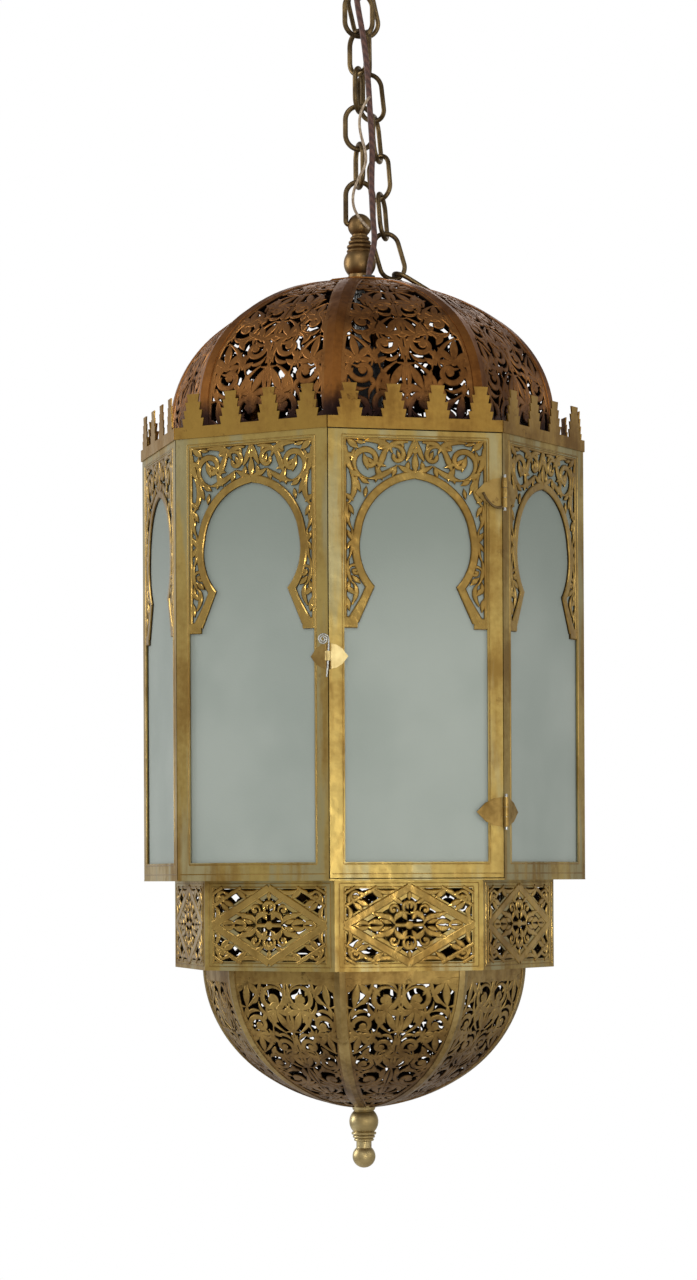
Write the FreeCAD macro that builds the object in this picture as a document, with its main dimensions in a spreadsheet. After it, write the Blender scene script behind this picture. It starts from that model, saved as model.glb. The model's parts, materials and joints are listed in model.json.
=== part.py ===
"""An octagonal pierced-brass hanging lantern on a chain, in millimetres.

The origin is the centre of the mounting face on the ceiling and +Z is up, so the lantern is in -Z.
The door faces -Y. A face's own coordinates are u along it and z up, with its outward normal along -Y;
face number k is the door's face turned by k eighths about Z.
"""

import FreeCAD, Part
import math
import os
import re

import Sketcher
from FreeCAD import Placement, Rotation, Vector

os.makedirs("parts", exist_ok=True)
doc = FreeCAD.newDocument("hanging_lantern")

SIZES = [
    # ceiling fitting
    ("plate_length", 88), ("plate_width", 22), ("plate_thick", 3), ("ceiling_screw_spacing", 64),
    ("ceiling_screw_hole", 2.4), ("boss_radius", 8), ("boss_height", 9), ("canopy_radius", 52),
    ("canopy_lip_radius", 44), ("canopy_depth", 34), ("cord_hole_radius", 11.3),
    ("cord_hole_aside", 10.5), ("cord_hole_out", 20.7),
    ("eye_wire", 4.5), ("eye_radius", 8), ("eye_shank_radius", 3), ("eye_collar_radius", 7),
    ("eye_collar_height", 3), ("hook_wire", 4.5), ("hook_length", 33.8), ("hook_width", 28),
    # chain
    ("link_wire", 4.3), ("link_length", 41), ("link_width", 28.5), ("link_count", 6),
    ("link_bend", 3), ("seat_gap", 0.2), ("spare_wire", 4), ("spare_width", 26), ("spare_pitch", 36.3),
    ("spare_aside", 1), ("spare_behind", 6), ("spare_lift", 3.3),
    # turned finials
    ("ball_radius", 10.2), ("ball_above_dome", 48.3), ("eye_hole_radius", 3), ("neck_radius", 6.6),
    ("ring_height", 3.1), ("ring_step", 1.5), ("bulb_radius", 13.8), ("foot_radius", 11.1),
    ("foot_height", 9.5), ("tail_bulb_radius", 12.4), ("tail_knob_radius", 9.8), ("tail_length", 53),
    # body
    ("sheet", 1.2), ("corner_radius", 190), ("drum_height", 360), ("panel_gap", 0.8),
    ("stile_width", 13.2), ("bottom_rail", 13.6), ("top_rail", 7), ("screen_sheet", 1), ("glass_thick", 3),
    ("tab_thick", 0.8), ("tab_length", 12), ("tab_reach", 9), ("door_gap", 0.8), ("fit_gap", 0.3),
    # arch screen
    ("screen_drop", 159), ("arch_apex_drop", 39.3), ("arch_widest_drop", 83.4), ("arch_half_width", 45),
    ("arch_cusp_drop", 126), ("arch_cusp_half_width", 34), ("arch_foot_half_width", 46.5),
    ("arch_foot_drop", 151), ("arch_upper_radius", 46), ("arch_lower_radius", 84),
    ("pierced_hole_radius", 4.5),
    # crown
    ("crown_base", 9.5), ("merlon_height", 26.5), ("merlons_per_face", 4), ("merlon_foot_width", 21),
    ("merlon_tip_width", 9),
    ("merlon_tiers", 4), ("merlon_overhang", 1.3),
    # upper dome
    ("dome_apothem", 151), ("dome_rise", 145), ("dome_straight", 19), ("shoulder_apothem", 108),
    ("shoulder_rise", 111.5), ("shoulder_radius", 103), ("crest_radius", 165), ("dome_eye", 24),
    ("dome_rib_width", 14), ("gore_hole_radius", 5), ("cap_radius", 29.5), ("rib_gap", 0.15),
    # collar and lower dome
    ("collar_radius", 163), ("collar_height", 72.4), ("collar_stile", 9.6), ("collar_rail", 6.5),
    ("strap_width", 6), ("bowl_apothem", 127.2), ("bowl_depth", 118.5), ("bowl_flank_apothem", 79.3),
    ("bowl_flank_depth", 91), ("bowl_flank_radius", 118), ("bowl_foot_radius", 150), ("bowl_eye", 9),
    ("bowl_rib_width", 9),
    # door hinges and latch
    ("hinge_axis_out", 2.81), ("knuckle_radius", 2.4), ("pin_radius", 1.25), ("pin_play", 0.05),
    ("hinge_height", 24), ("hinge_knuckle", 7.6), ("hinge_play", 0.4), ("leaf_thick", 0.8),
    ("leaf_length", 21), ("hinge_low", 53.6), ("hinge_drop", 49), ("latch_level", 177.6),
    ("latch_height", 20), ("latch_leaf_length", 14), ("latch_hook_play", 0.45), ("latch_relief", 0.5),
    ("latch_pin_length", 32),
    # lamp
    ("rod_radius", 5), ("rod_length", 84), ("nut_width", 16), ("nut_height", 5), ("holder_radius", 19),
    ("holder_cap_height", 15), ("holder_height", 40), ("lamp_cap_radius", 13.3), ("lamp_cap_height", 26),
    ("lamp_radius", 30), ("lamp_drop", 62), ("lamp_neck_radius", 12.5), ("lamp_wall", 1),
    # flexes
    ("cord_diameter", 5), ("earth_diameter", 2.4), ("grommet_radius", 5.5), ("grommet_height", 6), ("cord_play", 0.9),
    ("cord_entry_aside", 3), ("cord_entry_out", 17.8), ("holder_entry_out", 13),
]

sizes = doc.addObject("Spreadsheet::Sheet", "Sizes")
for row, (alias, amount) in enumerate(SIZES, 1):
    sizes.set(f"A{row}", alias)
    sizes.set(f"B{row}", str(amount))
    sizes.setAlias(f"B{row}", alias)
doc.recompute()
ALIASES = {alias for alias, _ in SIZES}
nodes = []


def bound(text):
    """An expression on the sheet, from words that are its aliases."""
    return re.sub(r"[a-z_]+", lambda w: f"Sizes.{w.group()}" if w.group() in ALIASES else w.group(), str(text))


def size(text):
    """The number that such an expression comes to now."""
    return float(sizes.evalExpression(bound(text)))


# Levels and distances that several pieces share.
APOTHEM = "corner_radius * cos(22.5)"
PANEL_DEPTH = "(sheet + screen_sheet + glass_thick + tab_thick)"
apothem = size(APOTHEM)
eye_centre = -size("canopy_depth + eye_collar_height + eye_wire / 2 + eye_radius")
eye_bottom = eye_centre - size("eye_radius")
hook_top = eye_bottom + size("(eye_wire + hook_wire) / 2 + seat_gap")
hook_bottom = hook_top - size("hook_length - hook_wire")
first_bar = hook_bottom + size("(hook_wire + link_wire) / 2 + seat_gap")
link_span = size("link_length - link_wire")
link_pitch = link_span - size("link_wire + seat_gap")
last_bar = first_bar - link_pitch * (size("link_count") - 1) - link_span
ball_level = last_bar - size("eye_hole_radius - link_wire / 2 - seat_gap")
finial_foot = ball_level - size("ball_above_dome")
cap_level = finial_foot - size("sheet")
dome_top = cap_level - size("sheet + rib_gap + seat_gap")
drum_top = dome_top - size("dome_rise")
drum_floor = drum_top - size("sheet") - size("drum_height")
collar_top = drum_floor - size("sheet")
collar_foot = collar_top - size("collar_height")
bowl_top = collar_foot - size("sheet")
bowl_foot = bowl_top - size("bowl_depth")


# ---- helpers -------------------------------------------------------------------------------------

def node(thing, name):
    """Registers an object as a sub-part, under the name that its file gets."""
    thing.Label = name
    nodes.append(thing)
    return thing


def primitive(kind, name, at=(0, 0, 0), turn=None, **amounts):
    thing = doc.addObject(f"Part::{kind}", name)
    for key, text in amounts.items():
        thing.setExpression(key, bound(text))
    thing.Placement = Placement(Vector(*at), turn or Rotation())
    return thing


def fused(name, pieces):
    thing = doc.addObject("Part::MultiFuse", name)
    thing.Shapes = pieces
    return thing


def cut(name, base, tools):
    if len(tools) > 1:
        tools = [fused(f"{name}_tools", tools)]
    thing = doc.addObject("Part::Cut", name)
    thing.Base, thing.Tool = base, tools[0]
    return thing


def shaped(name, shape, place=None):
    """A piece whose shape is worked out here, from the sheet's sizes."""
    thing = doc.addObject("Part::Feature", name)
    thing.Shape = shape
    if place:
        thing.Placement = place
    return thing


def face_turn(k):
    return Rotation(Vector(0, 0, 1), 45 * k)


def ring_of(name, piece, level, count=8):
    """Eight copies of a piece round the axis, as separate solids."""
    doc.recompute()
    copies = []
    for k in range(count):
        copy = piece.Shape.copy()
        copy.Placement = Placement(Vector(0, 0, level), face_turn(k)) * copy.Placement
        copies.append(copy)
    return shaped(name, Part.makeCompound(copies))


def sketch(body, name, plane="XZ_Plane", offset=0):
    """A sketch on one of the body's origin planes, moved along the plane's normal."""
    made = body.newObject("Sketcher::SketchObject", name)
    origin_plane = next(f for f in body.Origin.OriginFeatures if f.Role == plane)
    made.AttachmentSupport = [(origin_plane, "")]
    made.MapMode = "FlatFace"
    made.AttachmentOffset = Placement(Vector(0, 0, offset), Rotation())
    return made


def pin_point(made, geometry, end, x, y):
    """Holds a point of the sketch at coordinates that the sheet gives."""
    for kind, axis, text in (("DistanceX", -2, x), ("DistanceY", -1, y)):
        amount = size(text)
        if abs(amount) < 1e-9:
            made.addConstraint(Sketcher.Constraint("PointOnObject", geometry, end, axis))
        else:
            index = made.addConstraint(Sketcher.Constraint(kind, -1, 1, geometry, end, amount))
            made.setExpression(f"Constraints[{index}]", bound(text))


def arc_between(a, b, radius):
    """The short arc from a to b; it bulges to the left of that way if the radius is positive."""
    chord = b - a
    sagitta = abs(radius) - math.sqrt(max(radius * radius - chord.Length ** 2 / 4, 0))
    side = Vector(-chord.y, chord.x, 0).normalize() * math.copysign(sagitta, radius)
    return Part.Arc(a, (a + b) * 0.5 + side, b)


def outline(made, corners):
    """A closed outline. A corner is (x, y), or (x, y, radius) if an arc leads from it to the next."""
    points = [Vector(size(c[0]), size(c[1]), 0) for c in corners]
    ends = []
    for k, corner in enumerate(corners):
        a, b = points[k], points[(k + 1) % len(points)]
        if len(corner) == 2:
            index = made.addGeometry(Part.LineSegment(a, b))
            ends.append((index, 1, 2))
            continue
        index = made.addGeometry(arc_between(a, b, corner[2]))
        start = made.getPoint(index, 1)
        ends.append((index, 1, 2) if start.distanceToPoint(a) < 1e-6 else (index, 2, 1))
        made.addConstraint(Sketcher.Constraint("Radius", index, abs(corner[2])))
    for k, (index, _, last) in enumerate(ends):
        following = ends[(k + 1) % len(ends)]
        made.addConstraint(Sketcher.Constraint("Coincident", index, last, following[0], following[1]))
    for (index, start, _), corner in zip(ends, corners):
        pin_point(made, index, start, corner[0], corner[1])


def rounds(made, centres, radius):
    """Circles of one radius at the given centres."""
    for x, y in centres:
        index = made.addGeometry(Part.Circle(Vector(size(x), size(y), 0), Vector(0, 0, 1), size(radius)))
        pin_point(made, index, 3, x, y)
        held = made.addConstraint(Sketcher.Constraint("Radius", index, size(radius)))
        made.setExpression(f"Constraints[{held}]", bound(radius))


def rectangle(x0, y0, x1, y1):
    return [(x0, y0), (x1, y0), (x1, y1), (x0, y1)]


def pad(body, name, profile, length, midplane=False, reverse=False):
    made = body.newObject("PartDesign::Pad", name)
    made.Profile = profile
    made.setExpression("Length", bound(length))
    made.Midplane, made.Reversed = midplane, reverse
    return made


def pocket(body, name, profile, both=False, reverse=False):
    """Cuts all the way, to one side of the sketch or to both, and tests that it cut something."""
    doc.recompute()
    before = body.Shape.Volume
    made = body.newObject("PartDesign::Pocket", name)
    made.Profile = profile
    made.Type = 1
    made.Midplane, made.Reversed = both, reverse
    doc.recompute()
    if not body.Shape.Volume < before - 1e-3:
        raise ValueError(f"{name} cuts nothing")
    return made


def octagon(name, level, corner, height):
    """An octagonal prism with its flats towards X and Y."""
    turn = Rotation(Vector(0, 0, 1), 22.5)
    thing = primitive("Prism", name, (0, 0, level), turn, Circumradius=corner, Height=height)
    thing.Polygon = 8
    return thing


# ---- ceiling fitting -----------------------------------------------------------------------------

def ceiling_plate():
    along, across, thick = size("plate_length"), size("plate_width"), size("plate_thick")
    strap = primitive("Box", "strap", (-along / 2, -across / 2, -thick), Length="plate_length",
                      Width="plate_width", Height="plate_thick")
    boss = primitive("Cylinder", "boss", (0, 0, -thick - size("boss_height")), Radius="boss_radius",
                     Height="boss_height + plate_thick")
    shank = primitive("Cylinder", "boss_bore", (0, 0, -thick - size("boss_height") - 1),
                      Radius="eye_shank_radius", Height="boss_height + 1")
    holes = [primitive("Cylinder", "screw_hole", (side * size("ceiling_screw_spacing / 2"), 0, -thick - 1),
                       Radius="ceiling_screw_hole", Height="plate_thick + 2") for side in (-1, 1)]
    node(cut("ceiling_plate", fused("strap_and_boss", [strap, boss]), [shank] + holes), "ceiling_plate")


def canopy():
    depth = size("canopy_depth")
    down = Rotation(Vector(1, 0, 0), 180)
    outer = primitive("Cone", "canopy_outside", (0, 0, 0), down, Radius1="canopy_radius",
                      Radius2="canopy_lip_radius", Height="canopy_depth")
    inner = primitive("Cone", "canopy_inside", (0, 0, 0), down, Radius1="canopy_radius - sheet",
                      Radius2="canopy_lip_radius - sheet", Height="canopy_depth - sheet")
    neck = primitive("Cylinder", "canopy_eye_hole", (0, 0, -depth - 1), Radius="eye_shank_radius + fit_gap",
                     Height="sheet + 2")
    cord = primitive("Cylinder", "canopy_cord_hole", (-size("cord_hole_aside"), -size("cord_hole_out"), -depth - 1),
                     Radius="cord_hole_radius", Height="sheet + 2")
    node(cut("canopy", outer, [inner, neck, cord]), "canopy")


def ceiling_eye():
    """A threaded eye; its ring stands in the XZ plane, and a collar under the canopy holds that up."""
    boss_foot = -size("plate_thick + boss_height")
    collar = -size("canopy_depth + eye_collar_height")
    top = boss_foot + size("boss_height")
    shank = primitive("Cylinder", "eye_shank", (0, 0, collar), Radius="eye_shank_radius")
    shank.Height = top - collar
    rim = primitive("Cylinder", "eye_collar", (0, 0, collar), Radius="eye_collar_radius",
                    Height="eye_collar_height")
    ring = primitive("Torus", "eye_ring", (0, 0, eye_centre), Rotation(Vector(1, 0, 0), 90),
                     Radius1="eye_radius", Radius2="eye_wire / 2")
    stub = primitive("Cylinder", "eye_neck", (0, 0, collar - size("eye_wire / 2")), Radius="eye_shank_radius",
                     Height="eye_wire / 2 + 0.5")
    node(fused("ceiling_eye", [shank, rim, stub, ring]), "ceiling_eye")


def wire_solid(path, diameter):
    """Round wire along a path of tangent lines and arcs that starts at its first vertex."""
    start = path.OrderedEdges[0]
    near = start.valueAt(start.FirstParameter)
    way = start.tangentAt(start.FirstParameter)
    section = Part.Wire(Part.makeCircle(diameter / 2, near, way))
    return path.makePipeShell([section], True, False)


def oval(half_span, half_width, bend=None, opening=0.0):
    """The centreline of a chain link in the XZ plane, round-ended or with tighter lower corners.

    It starts half-way down its right side, where an opened joint is if the link has one.
    """
    r = half_width
    top, low = half_span - r, -(half_span - r)
    right, left = Vector(r, 0, 0), Vector(-r, 0, 0)
    edges = [Part.LineSegment(right + Vector(0, 0, opening / 2), Vector(r, 0, top)),
             Part.Arc(Vector(r, 0, top), Vector(0, 0, half_span), Vector(-r, 0, top)),
             Part.LineSegment(Vector(-r, 0, top), left)]
    if bend is None:
        edges += [Part.LineSegment(left, Vector(-r, 0, low)),
                  Part.Arc(Vector(-r, 0, low), Vector(0, 0, -half_span), Vector(r, 0, low)),
                  Part.LineSegment(Vector(r, 0, low), right - Vector(0, 0, opening / 2))]
    else:
        c = bend
        corner = c * (1 - math.sqrt(0.5))
        edges += [Part.LineSegment(left, Vector(-r, 0, c - half_span)),
                  Part.Arc(Vector(-r, 0, c - half_span), Vector(corner - r, 0, corner - half_span),
                           Vector(c - r, 0, -half_span)),
                  Part.LineSegment(Vector(c - r, 0, -half_span), Vector(r - c, 0, -half_span)),
                  Part.Arc(Vector(r - c, 0, -half_span), Vector(r - corner, 0, corner - half_span),
                           Vector(r, 0, c - half_span)),
                  Part.LineSegment(Vector(r, 0, c - half_span), right - Vector(0, 0, opening / 2))]
    return Part.Wire([e.toShape() for e in edges])


def ceiling_hook():
    """An open hook of round wire in the YZ plane, hung in the eye."""
    path = oval((hook_top - hook_bottom) / 2, size("(hook_width - hook_wire) / 2"), opening=5)
    place = Placement(Vector(0, 0, (hook_top + hook_bottom) / 2), Rotation(Vector(0, 0, 1), 90))
    node(shaped("ceiling_hook", wire_solid(path, size("hook_wire")), place), "ceiling_hook")


# ---- chains --------------------------------------------------------------------------------------

def main_chain():
    """Six links; the last has a straight lower bar that passes through the finial's ball."""
    twist = [0, 115, 60, 0, 90, 0]
    half, across = link_span / 2, size("(link_width - link_wire) / 2")
    links = []
    for k in range(int(size("link_count"))):
        last = k == size("link_count") - 1
        shape = wire_solid(oval(half, across, size("link_bend") if last else None), size("link_wire"))
        top = first_bar - link_pitch * k
        place = Placement(Vector(0, 0, top - half), Rotation(Vector(0, 0, 1), twist[k % 6]))
        if last:
            node(shaped("finial_link", shape, place), "finial_link")
        else:
            shape.Placement = place
            links.append(shape)
    node(shaped("main_chain", Part.makeCompound(links)), "main_chain")


def spare_chain():
    """The loose end of the chain: eight links back down beside the first strand, the last on the dome.

    Each link's way is where its lower end lies from its upper end, and its roll turns it about that way.
    """
    ways = [Vector(0.33, 0.3, -1), Vector(0.02, 0.04, -1), Vector(0.22, 0.4, -0.9), Vector(0.05, -0.16, -1),
            Vector(0.0, -0.28, -1), Vector(0.0, -0.28, -1), Vector(0.26, -0.12, -1), Vector(0.9, 0.0, -0.5)]
    rolls = [0, 84, 140, 60, 125, 60, 0, 90]
    wire = size("spare_wire")
    span, apart = size("spare_pitch + spare_wire + seat_gap"), wire + size("seat_gap")
    across = size("(spare_width - spare_wire) / 2")
    upper = Vector(size("spare_aside"), size("spare_behind"), hook_bottom + size("hook_wire / 2 + spare_lift") + wire)
    links, bar_before = [], None
    for way, roll in zip(ways, rolls):
        way.normalize()
        aim = Rotation(Vector(0, 0, -1), way) * Rotation(Vector(0, 0, 1), roll)
        bar = aim.multVec(Vector(1, 0, 0))
        if bar_before:
            across_both = bar.cross(bar_before).normalize()
            upper = lower - across_both * math.copysign(apart, across_both.dot(way + way_before))
        lower = upper + way * span
        shape = wire_solid(oval(span / 2, across), wire)
        shape.Placement = Placement((upper + lower) * 0.5, aim)
        links.append(shape)
        bar_before, way_before = bar, way
    node(shaped("spare_chain", Part.makeCompound(links)), "spare_chain")


# ---- flexes --------------------------------------------------------------------------------------

def flex(name, points, diameter):
    """A tube along straight runs joined by tangent arcs as large as the runs allow."""
    points = [Vector(*p) for p in points]
    edges, at, radii = [], points[0], []
    for before, corner, after in zip(points, points[1:], points[2:]):
        into, out = (corner - before), (after - corner)
        half_turn = into.getAngle(out) / 2
        reach = 0.45 * min(into.Length, out.Length)
        radii.append(reach / math.tan(half_turn))
        into.normalize()
        out.normalize()
        a, b = corner - into * reach, corner + out * reach
        inward = (out - into).normalize()
        middle = corner + inward * (radii[-1] / math.cos(half_turn) - radii[-1])
        edges += [Part.LineSegment(at, a).toShape(), Part.Arc(a, middle, b).toShape()]
        at = b
    edges.append(Part.LineSegment(at, points[-1]).toShape())
    path = Part.Wire(edges)
    solid = wire_solid(path, diameter)
    expected = math.pi * diameter ** 2 / 4 * path.Length
    print(f"{name}: {path.Length:.1f} mm long, smallest radius {min(radii):.1f}, "
          f"volume {solid.Volume / expected:.4f} of its section times its length")
    node(shaped(name, solid), name)


def supply_cord():
    flex("supply_cord", [
        (-11, -21, -10), (-10.5, -20.5, -44), (-7, -18, -84), (0, -17, -118), (3.5, -17.5, -152),
        (5, -18, -182), (7, -18, -212), (6, -17, -240), (7, -17, -268), (9, -17.5, -290), (5, -17.6, -305),
        (3.2, -17.8, -317), (3, -17.8, -330), (3, -17, -345), (3, -14, -360), (3, -13, -373), (3, -13, -387)],
         size("cord_diameter"))


def earth_wire():
    flex("earth_wire", [
        (4, -21.5, -168), (-2, -20, -176), (-5, -18.5, -188), (-3.5, -18, -200), (1, -18.5, -214),
        (1, -18.5, -226), (-6, -18, -238), (-10.5, -17.5, -250), (-10, -17, -262), (-3.5, -16.5, -272),
        (3, -20.5, -280)], size("earth_diameter"))


# ---- finials and lamp ----------------------------------------------------------------------------

def upper_finial():
    """Turned brass: a drilled ball, a neck, stepped rings, a bulb and a spreading foot."""
    ring = size("ring_height")
    rings_top = ball_level - size("ball_radius") - 1.5
    pieces = [primitive("Sphere", "ball", (0, 0, ball_level), Radius="ball_radius"),
              primitive("Cylinder", "finial_neck", (0, 0, rings_top - 2), Radius="neck_radius",
                        Height="ball_radius + 2")]
    for k in range(3):
        pieces.append(primitive("Cone", "finial_ring", (0, 0, rings_top - ring * (k + 1)),
                                Radius1=f"neck_radius + ring_step * {k + 1}",
                                Radius2=f"neck_radius + ring_step * {k + 0.3}", Height="ring_height"))
    bulb = finial_foot + size("foot_height + 6.6")
    pieces.append(primitive("Sphere", "finial_bulb", (0, 0, bulb), Radius="bulb_radius"))
    pieces.append(primitive("Cone", "finial_foot", (0, 0, finial_foot), Radius1="foot_radius",
                            Radius2="foot_radius - 1.8", Height="foot_height"))
    below = primitive("Cylinder", "finial_base_plane", (0, 0, finial_foot - 30), Radius="bulb_radius + 5",
                      Height="30")
    hole = primitive("Cylinder", "ball_hole", (-20, 0, ball_level), Rotation(Vector(0, 1, 0), 90),
                     Radius="eye_hole_radius", Height="40")
    socket = primitive("Cylinder", "finial_socket", (0, 0, finial_foot - 1), Radius="rod_radius",
                       Height="foot_height + 5")
    node(cut("upper_finial", fused("finial_solid", pieces), [below, hole, socket]), "upper_finial")


def lower_finial():
    """The same turning upside down, with a plain knob at its end and a threaded tail for its nut."""
    ring = size("ring_height")
    foot = bowl_foot
    bulb = foot - size("tail_bulb_radius + 1")
    knob = foot - size("tail_length - tail_knob_radius")
    pieces = [primitive("Cone", "tail_foot", (0, 0, foot - 5), Radius1="neck_radius + 1.5",
                        Radius2="tail_bulb_radius - 1", Height="5"),
              primitive("Sphere", "tail_bulb", (0, 0, bulb), Radius="tail_bulb_radius"),
              primitive("Sphere", "tail_knob", (0, 0, knob), Radius="tail_knob_radius"),
              primitive("Cylinder", "tail_neck", (0, 0, knob), Radius="neck_radius - 0.2")]
    pieces[-1].Height = bulb - knob
    for k in range(3):
        pieces.append(primitive("Cone", "tail_ring", (0, 0, bulb - 8 - ring * (k + 1)),
                                Radius1=f"neck_radius + ring_step * {2.3 - k}",
                                Radius2=f"neck_radius + ring_step * {3 - k}", Height="ring_height"))
    trim = primitive("Cylinder", "tail_base_plane", (0, 0, foot), Radius="tail_bulb_radius + 5", Height="20")
    turned = cut("tail_solid", fused("tail_turning", pieces), [trim])
    stud = primitive("Cylinder", "tail_stud", (0, 0, foot - 2), Radius="rod_radius", Height="14")
    node(fused("lower_finial", [turned, stud]), "lower_finial")


def hanging_rod():
    """A threaded rod from the upper finial down to the lampholder."""
    top = finial_foot + size("foot_height + 2")
    node(primitive("Cylinder", "hanging_rod", (0, 0, top - size("rod_length")), Radius="rod_radius - 0.05",
                   Height="rod_length"), "hanging_rod")


def rod_nuts():
    """Nuts on the rod under the dome and on the lampholder, and one on the lower finial's stud."""
    corner = "nut_width / 2 / cos(30)"
    rod_foot = finial_foot + size("foot_height + 2 - rod_length")
    under_dome = dome_top - size("sheet") - 1.5 - size("nut_height")
    levels = [under_dome, rod_foot + size("holder_cap_height"), bowl_foot + size("sheet") + 0.5]
    made = []
    for level in levels:
        hexagon = primitive("Prism", "nut_hexagon", (0, 0, level), Circumradius=corner, Height="nut_height")
        bore = primitive("Cylinder", "nut_bore", (0, 0, level - 1), Radius="rod_radius",
                         Height="nut_height + 2")
        made.append(cut("nut", hexagon, [bore]))
    doc.recompute()
    node(shaped("rod_nuts", Part.makeCompound([m.Shape for m in made])), "rod_nuts")


def lampholder():
    rod_foot = finial_foot + size("foot_height + 2 - rod_length")
    cap_top = rod_foot + size("holder_cap_height")
    cap = primitive("Cylinder", "holder_cap_solid", (0, 0, rod_foot), Radius="holder_radius + 1",
                    Height="holder_cap_height")
    hollow = primitive("Cylinder", "holder_cap_hollow", (0, 0, rod_foot - 1), Radius="holder_radius - 2",
                       Height="holder_cap_height - 2")
    bore = primitive("Cylinder", "holder_cap_bore", (0, 0, cap_top - 5), Radius="rod_radius", Height="10")
    entry = primitive("Cylinder", "holder_cord_entry", (size("cord_entry_aside"), -size("holder_entry_out"),
                                                       cap_top - 5), Radius="cord_diameter / 2 + cord_play / 2",
                      Height="10")
    node(cut("lampholder_cap", cap, [hollow, bore, entry]), "lampholder_cap")
    foot = rod_foot - size("holder_height")
    shell = primitive("Cylinder", "holder_shell", (0, 0, foot), Radius="holder_radius", Height="holder_height")
    well = primitive("Cylinder", "holder_well", (0, 0, foot - 1), Radius="lamp_cap_radius + fit_gap",
                     Height="lamp_cap_height + fit_gap")
    node(cut("lampholder_body", shell, [well]), "lampholder_body")
    lamp_level = foot - 1
    node(primitive("Cylinder", "lamp_cap", (0, 0, lamp_level), Radius="lamp_cap_radius",
                   Height="lamp_cap_height"), "lamp_cap")
    centre = lamp_level - size("lamp_drop")
    layers = []
    for inset in ("0", "lamp_wall"):
        globe = primitive("Sphere", "lamp_globe", (0, 0, centre), Radius=f"lamp_radius - {inset}")
        neck = primitive("Cone", "lamp_neck", (0, 0, centre + size("lamp_radius * 0.5")),
                         Radius1=f"lamp_radius * 0.8 - {inset}", Radius2=f"lamp_neck_radius - {inset}")
        neck.setExpression("Height", bound(f"lamp_drop - lamp_radius * 0.5 - {inset}"))
        layers.append(fused("lamp_layer", [globe, neck]))
    node(cut("lamp_glass", layers[0], [layers[1]]), "lamp_glass")


def cord_grommet():
    """A bush in the dome cap, round the supply cord."""
    place = (size("cord_entry_aside"), -size("cord_entry_out"), cap_level - size("(grommet_height - sheet) / 2"))
    outer = primitive("Cylinder", "grommet_outside", place, Radius="grommet_radius", Height="grommet_height")
    inner = primitive("Cylinder", "grommet_bore", (place[0], place[1], place[2] - 1),
                      Radius="cord_diameter / 2 + cord_play", Height="grommet_height + 2")
    node(cut("cord_grommet", outer, [inner]), "cord_grommet")


def dome_cap():
    disc = octagon("cap_disc", cap_level, "cap_radius", "sheet")
    rod = primitive("Cylinder", "cap_bore", (0, 0, cap_level - 1), Radius="rod_radius + 0.1", Height="sheet + 2")
    cord = primitive("Cylinder", "cap_cord_hole", (size("cord_entry_aside"), -size("cord_entry_out"),
                                                   cap_level - 1), Radius="grommet_radius", Height="sheet + 2")
    node(cut("dome_cap", disc, [rod, cord]), "dome_cap")


# ---- domes ---------------------------------------------------------------------------------------

def wedge_cut(body, name, reach, band=None):
    """Trims a face's sheet to its eighth, and to a band beside the corner if one is given."""
    top = sketch(body, f"{name}_sketch", "XY_Plane")
    far = f"({reach}) * 1.6"
    slope = "tan(22.5)"
    outside = [("0", "0"), (f"{far} * {slope}", f"-({far})"), (f"{far} * 1.2", f"-({far})"), (f"{far} * 1.2", "0")]
    outline(top, outside)
    if band:
        side = f"({band}) / cos(22.5)"
        inside = [(f"-({side})", "1"), (f"{far} * {slope} - {side}", f"-({far})"),
                  (f"-({far})", f"-({far})"), (f"-({far})", "1")]
        outline(top, inside)
    else:
        outline(top, [("0", "0"), (f"-({far}) * {slope}", f"-({far})"), (f"-({far}) * 1.2", f"-({far})"),
                      (f"-({far}) * 1.2", "0")])
    pocket(body, name, top, both=True)


def curved_sheet(name, points, radii, thick, outward=0.0):
    """A strip of sheet bent along arcs, in the YZ plane: points are (apothem, height) down its outer side.

    The strip lies between the outline moved out by outward and the same one moved in by thick less that.
    A radius of 0 stands for a straight stretch.
    """
    body = doc.addObject("PartDesign::Body", name)
    profile = sketch(body, f"{name}_profile", "YZ_Plane")
    outer = moved_outline(points, radii, outward)
    inner = moved_outline(points, radii, outward - thick)
    inner_radii = [r and math.copysign(abs(r) - thick, r) for r in radii]
    walk = list(zip(outer, radii + [0])) + list(zip(inner[::-1], [-r for r in inner_radii[::-1]] + [0]))
    for (p, r), (q, _) in zip(walk, walk[1:] + walk[:1]):
        index = profile.addGeometry(arc_between(p, q, r) if r else Part.LineSegment(p, q))
        profile.addConstraint(Sketcher.Constraint("Block", index))
    return body, profile


def moved_outline(points, radii, distance):
    """The outline's points moved along its normals; the first one stays at its height."""
    flat = [Vector(-x, z, 0) for x, z in points]
    normals = [Vector(0, 0, 0) for _ in flat]
    for k, r in enumerate(radii):
        a, b = flat[k], flat[k + 1]
        out = Vector(-(b - a).y, (b - a).x, 0).normalize() * (-1 if b.y < a.y else 1)
        if r:
            centre = (a + b) * 0.5 - out * math.sqrt(r * r - (b - a).Length ** 2 / 4)
            normals[k] += (a - centre).normalize()
            normals[k + 1] += (b - centre).normalize()
        else:
            normals[k] += out
            normals[k + 1] += out
    moved = [p + n.normalize() * distance for p, n in zip(flat, normals)]
    moved[0] = Vector(flat[0].x - distance, flat[0].y, 0)
    return moved


def dome_points():
    rise, straight = size("dome_rise"), size("dome_straight")
    wall, shoulder, top = size("dome_apothem"), size("shoulder_apothem"), size("shoulder_rise")
    points = [(wall, 0), (wall, straight), (shoulder, top), (size("dome_eye"), rise)]
    return points, [0, size("shoulder_radius"), size("crest_radius")]


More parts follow.
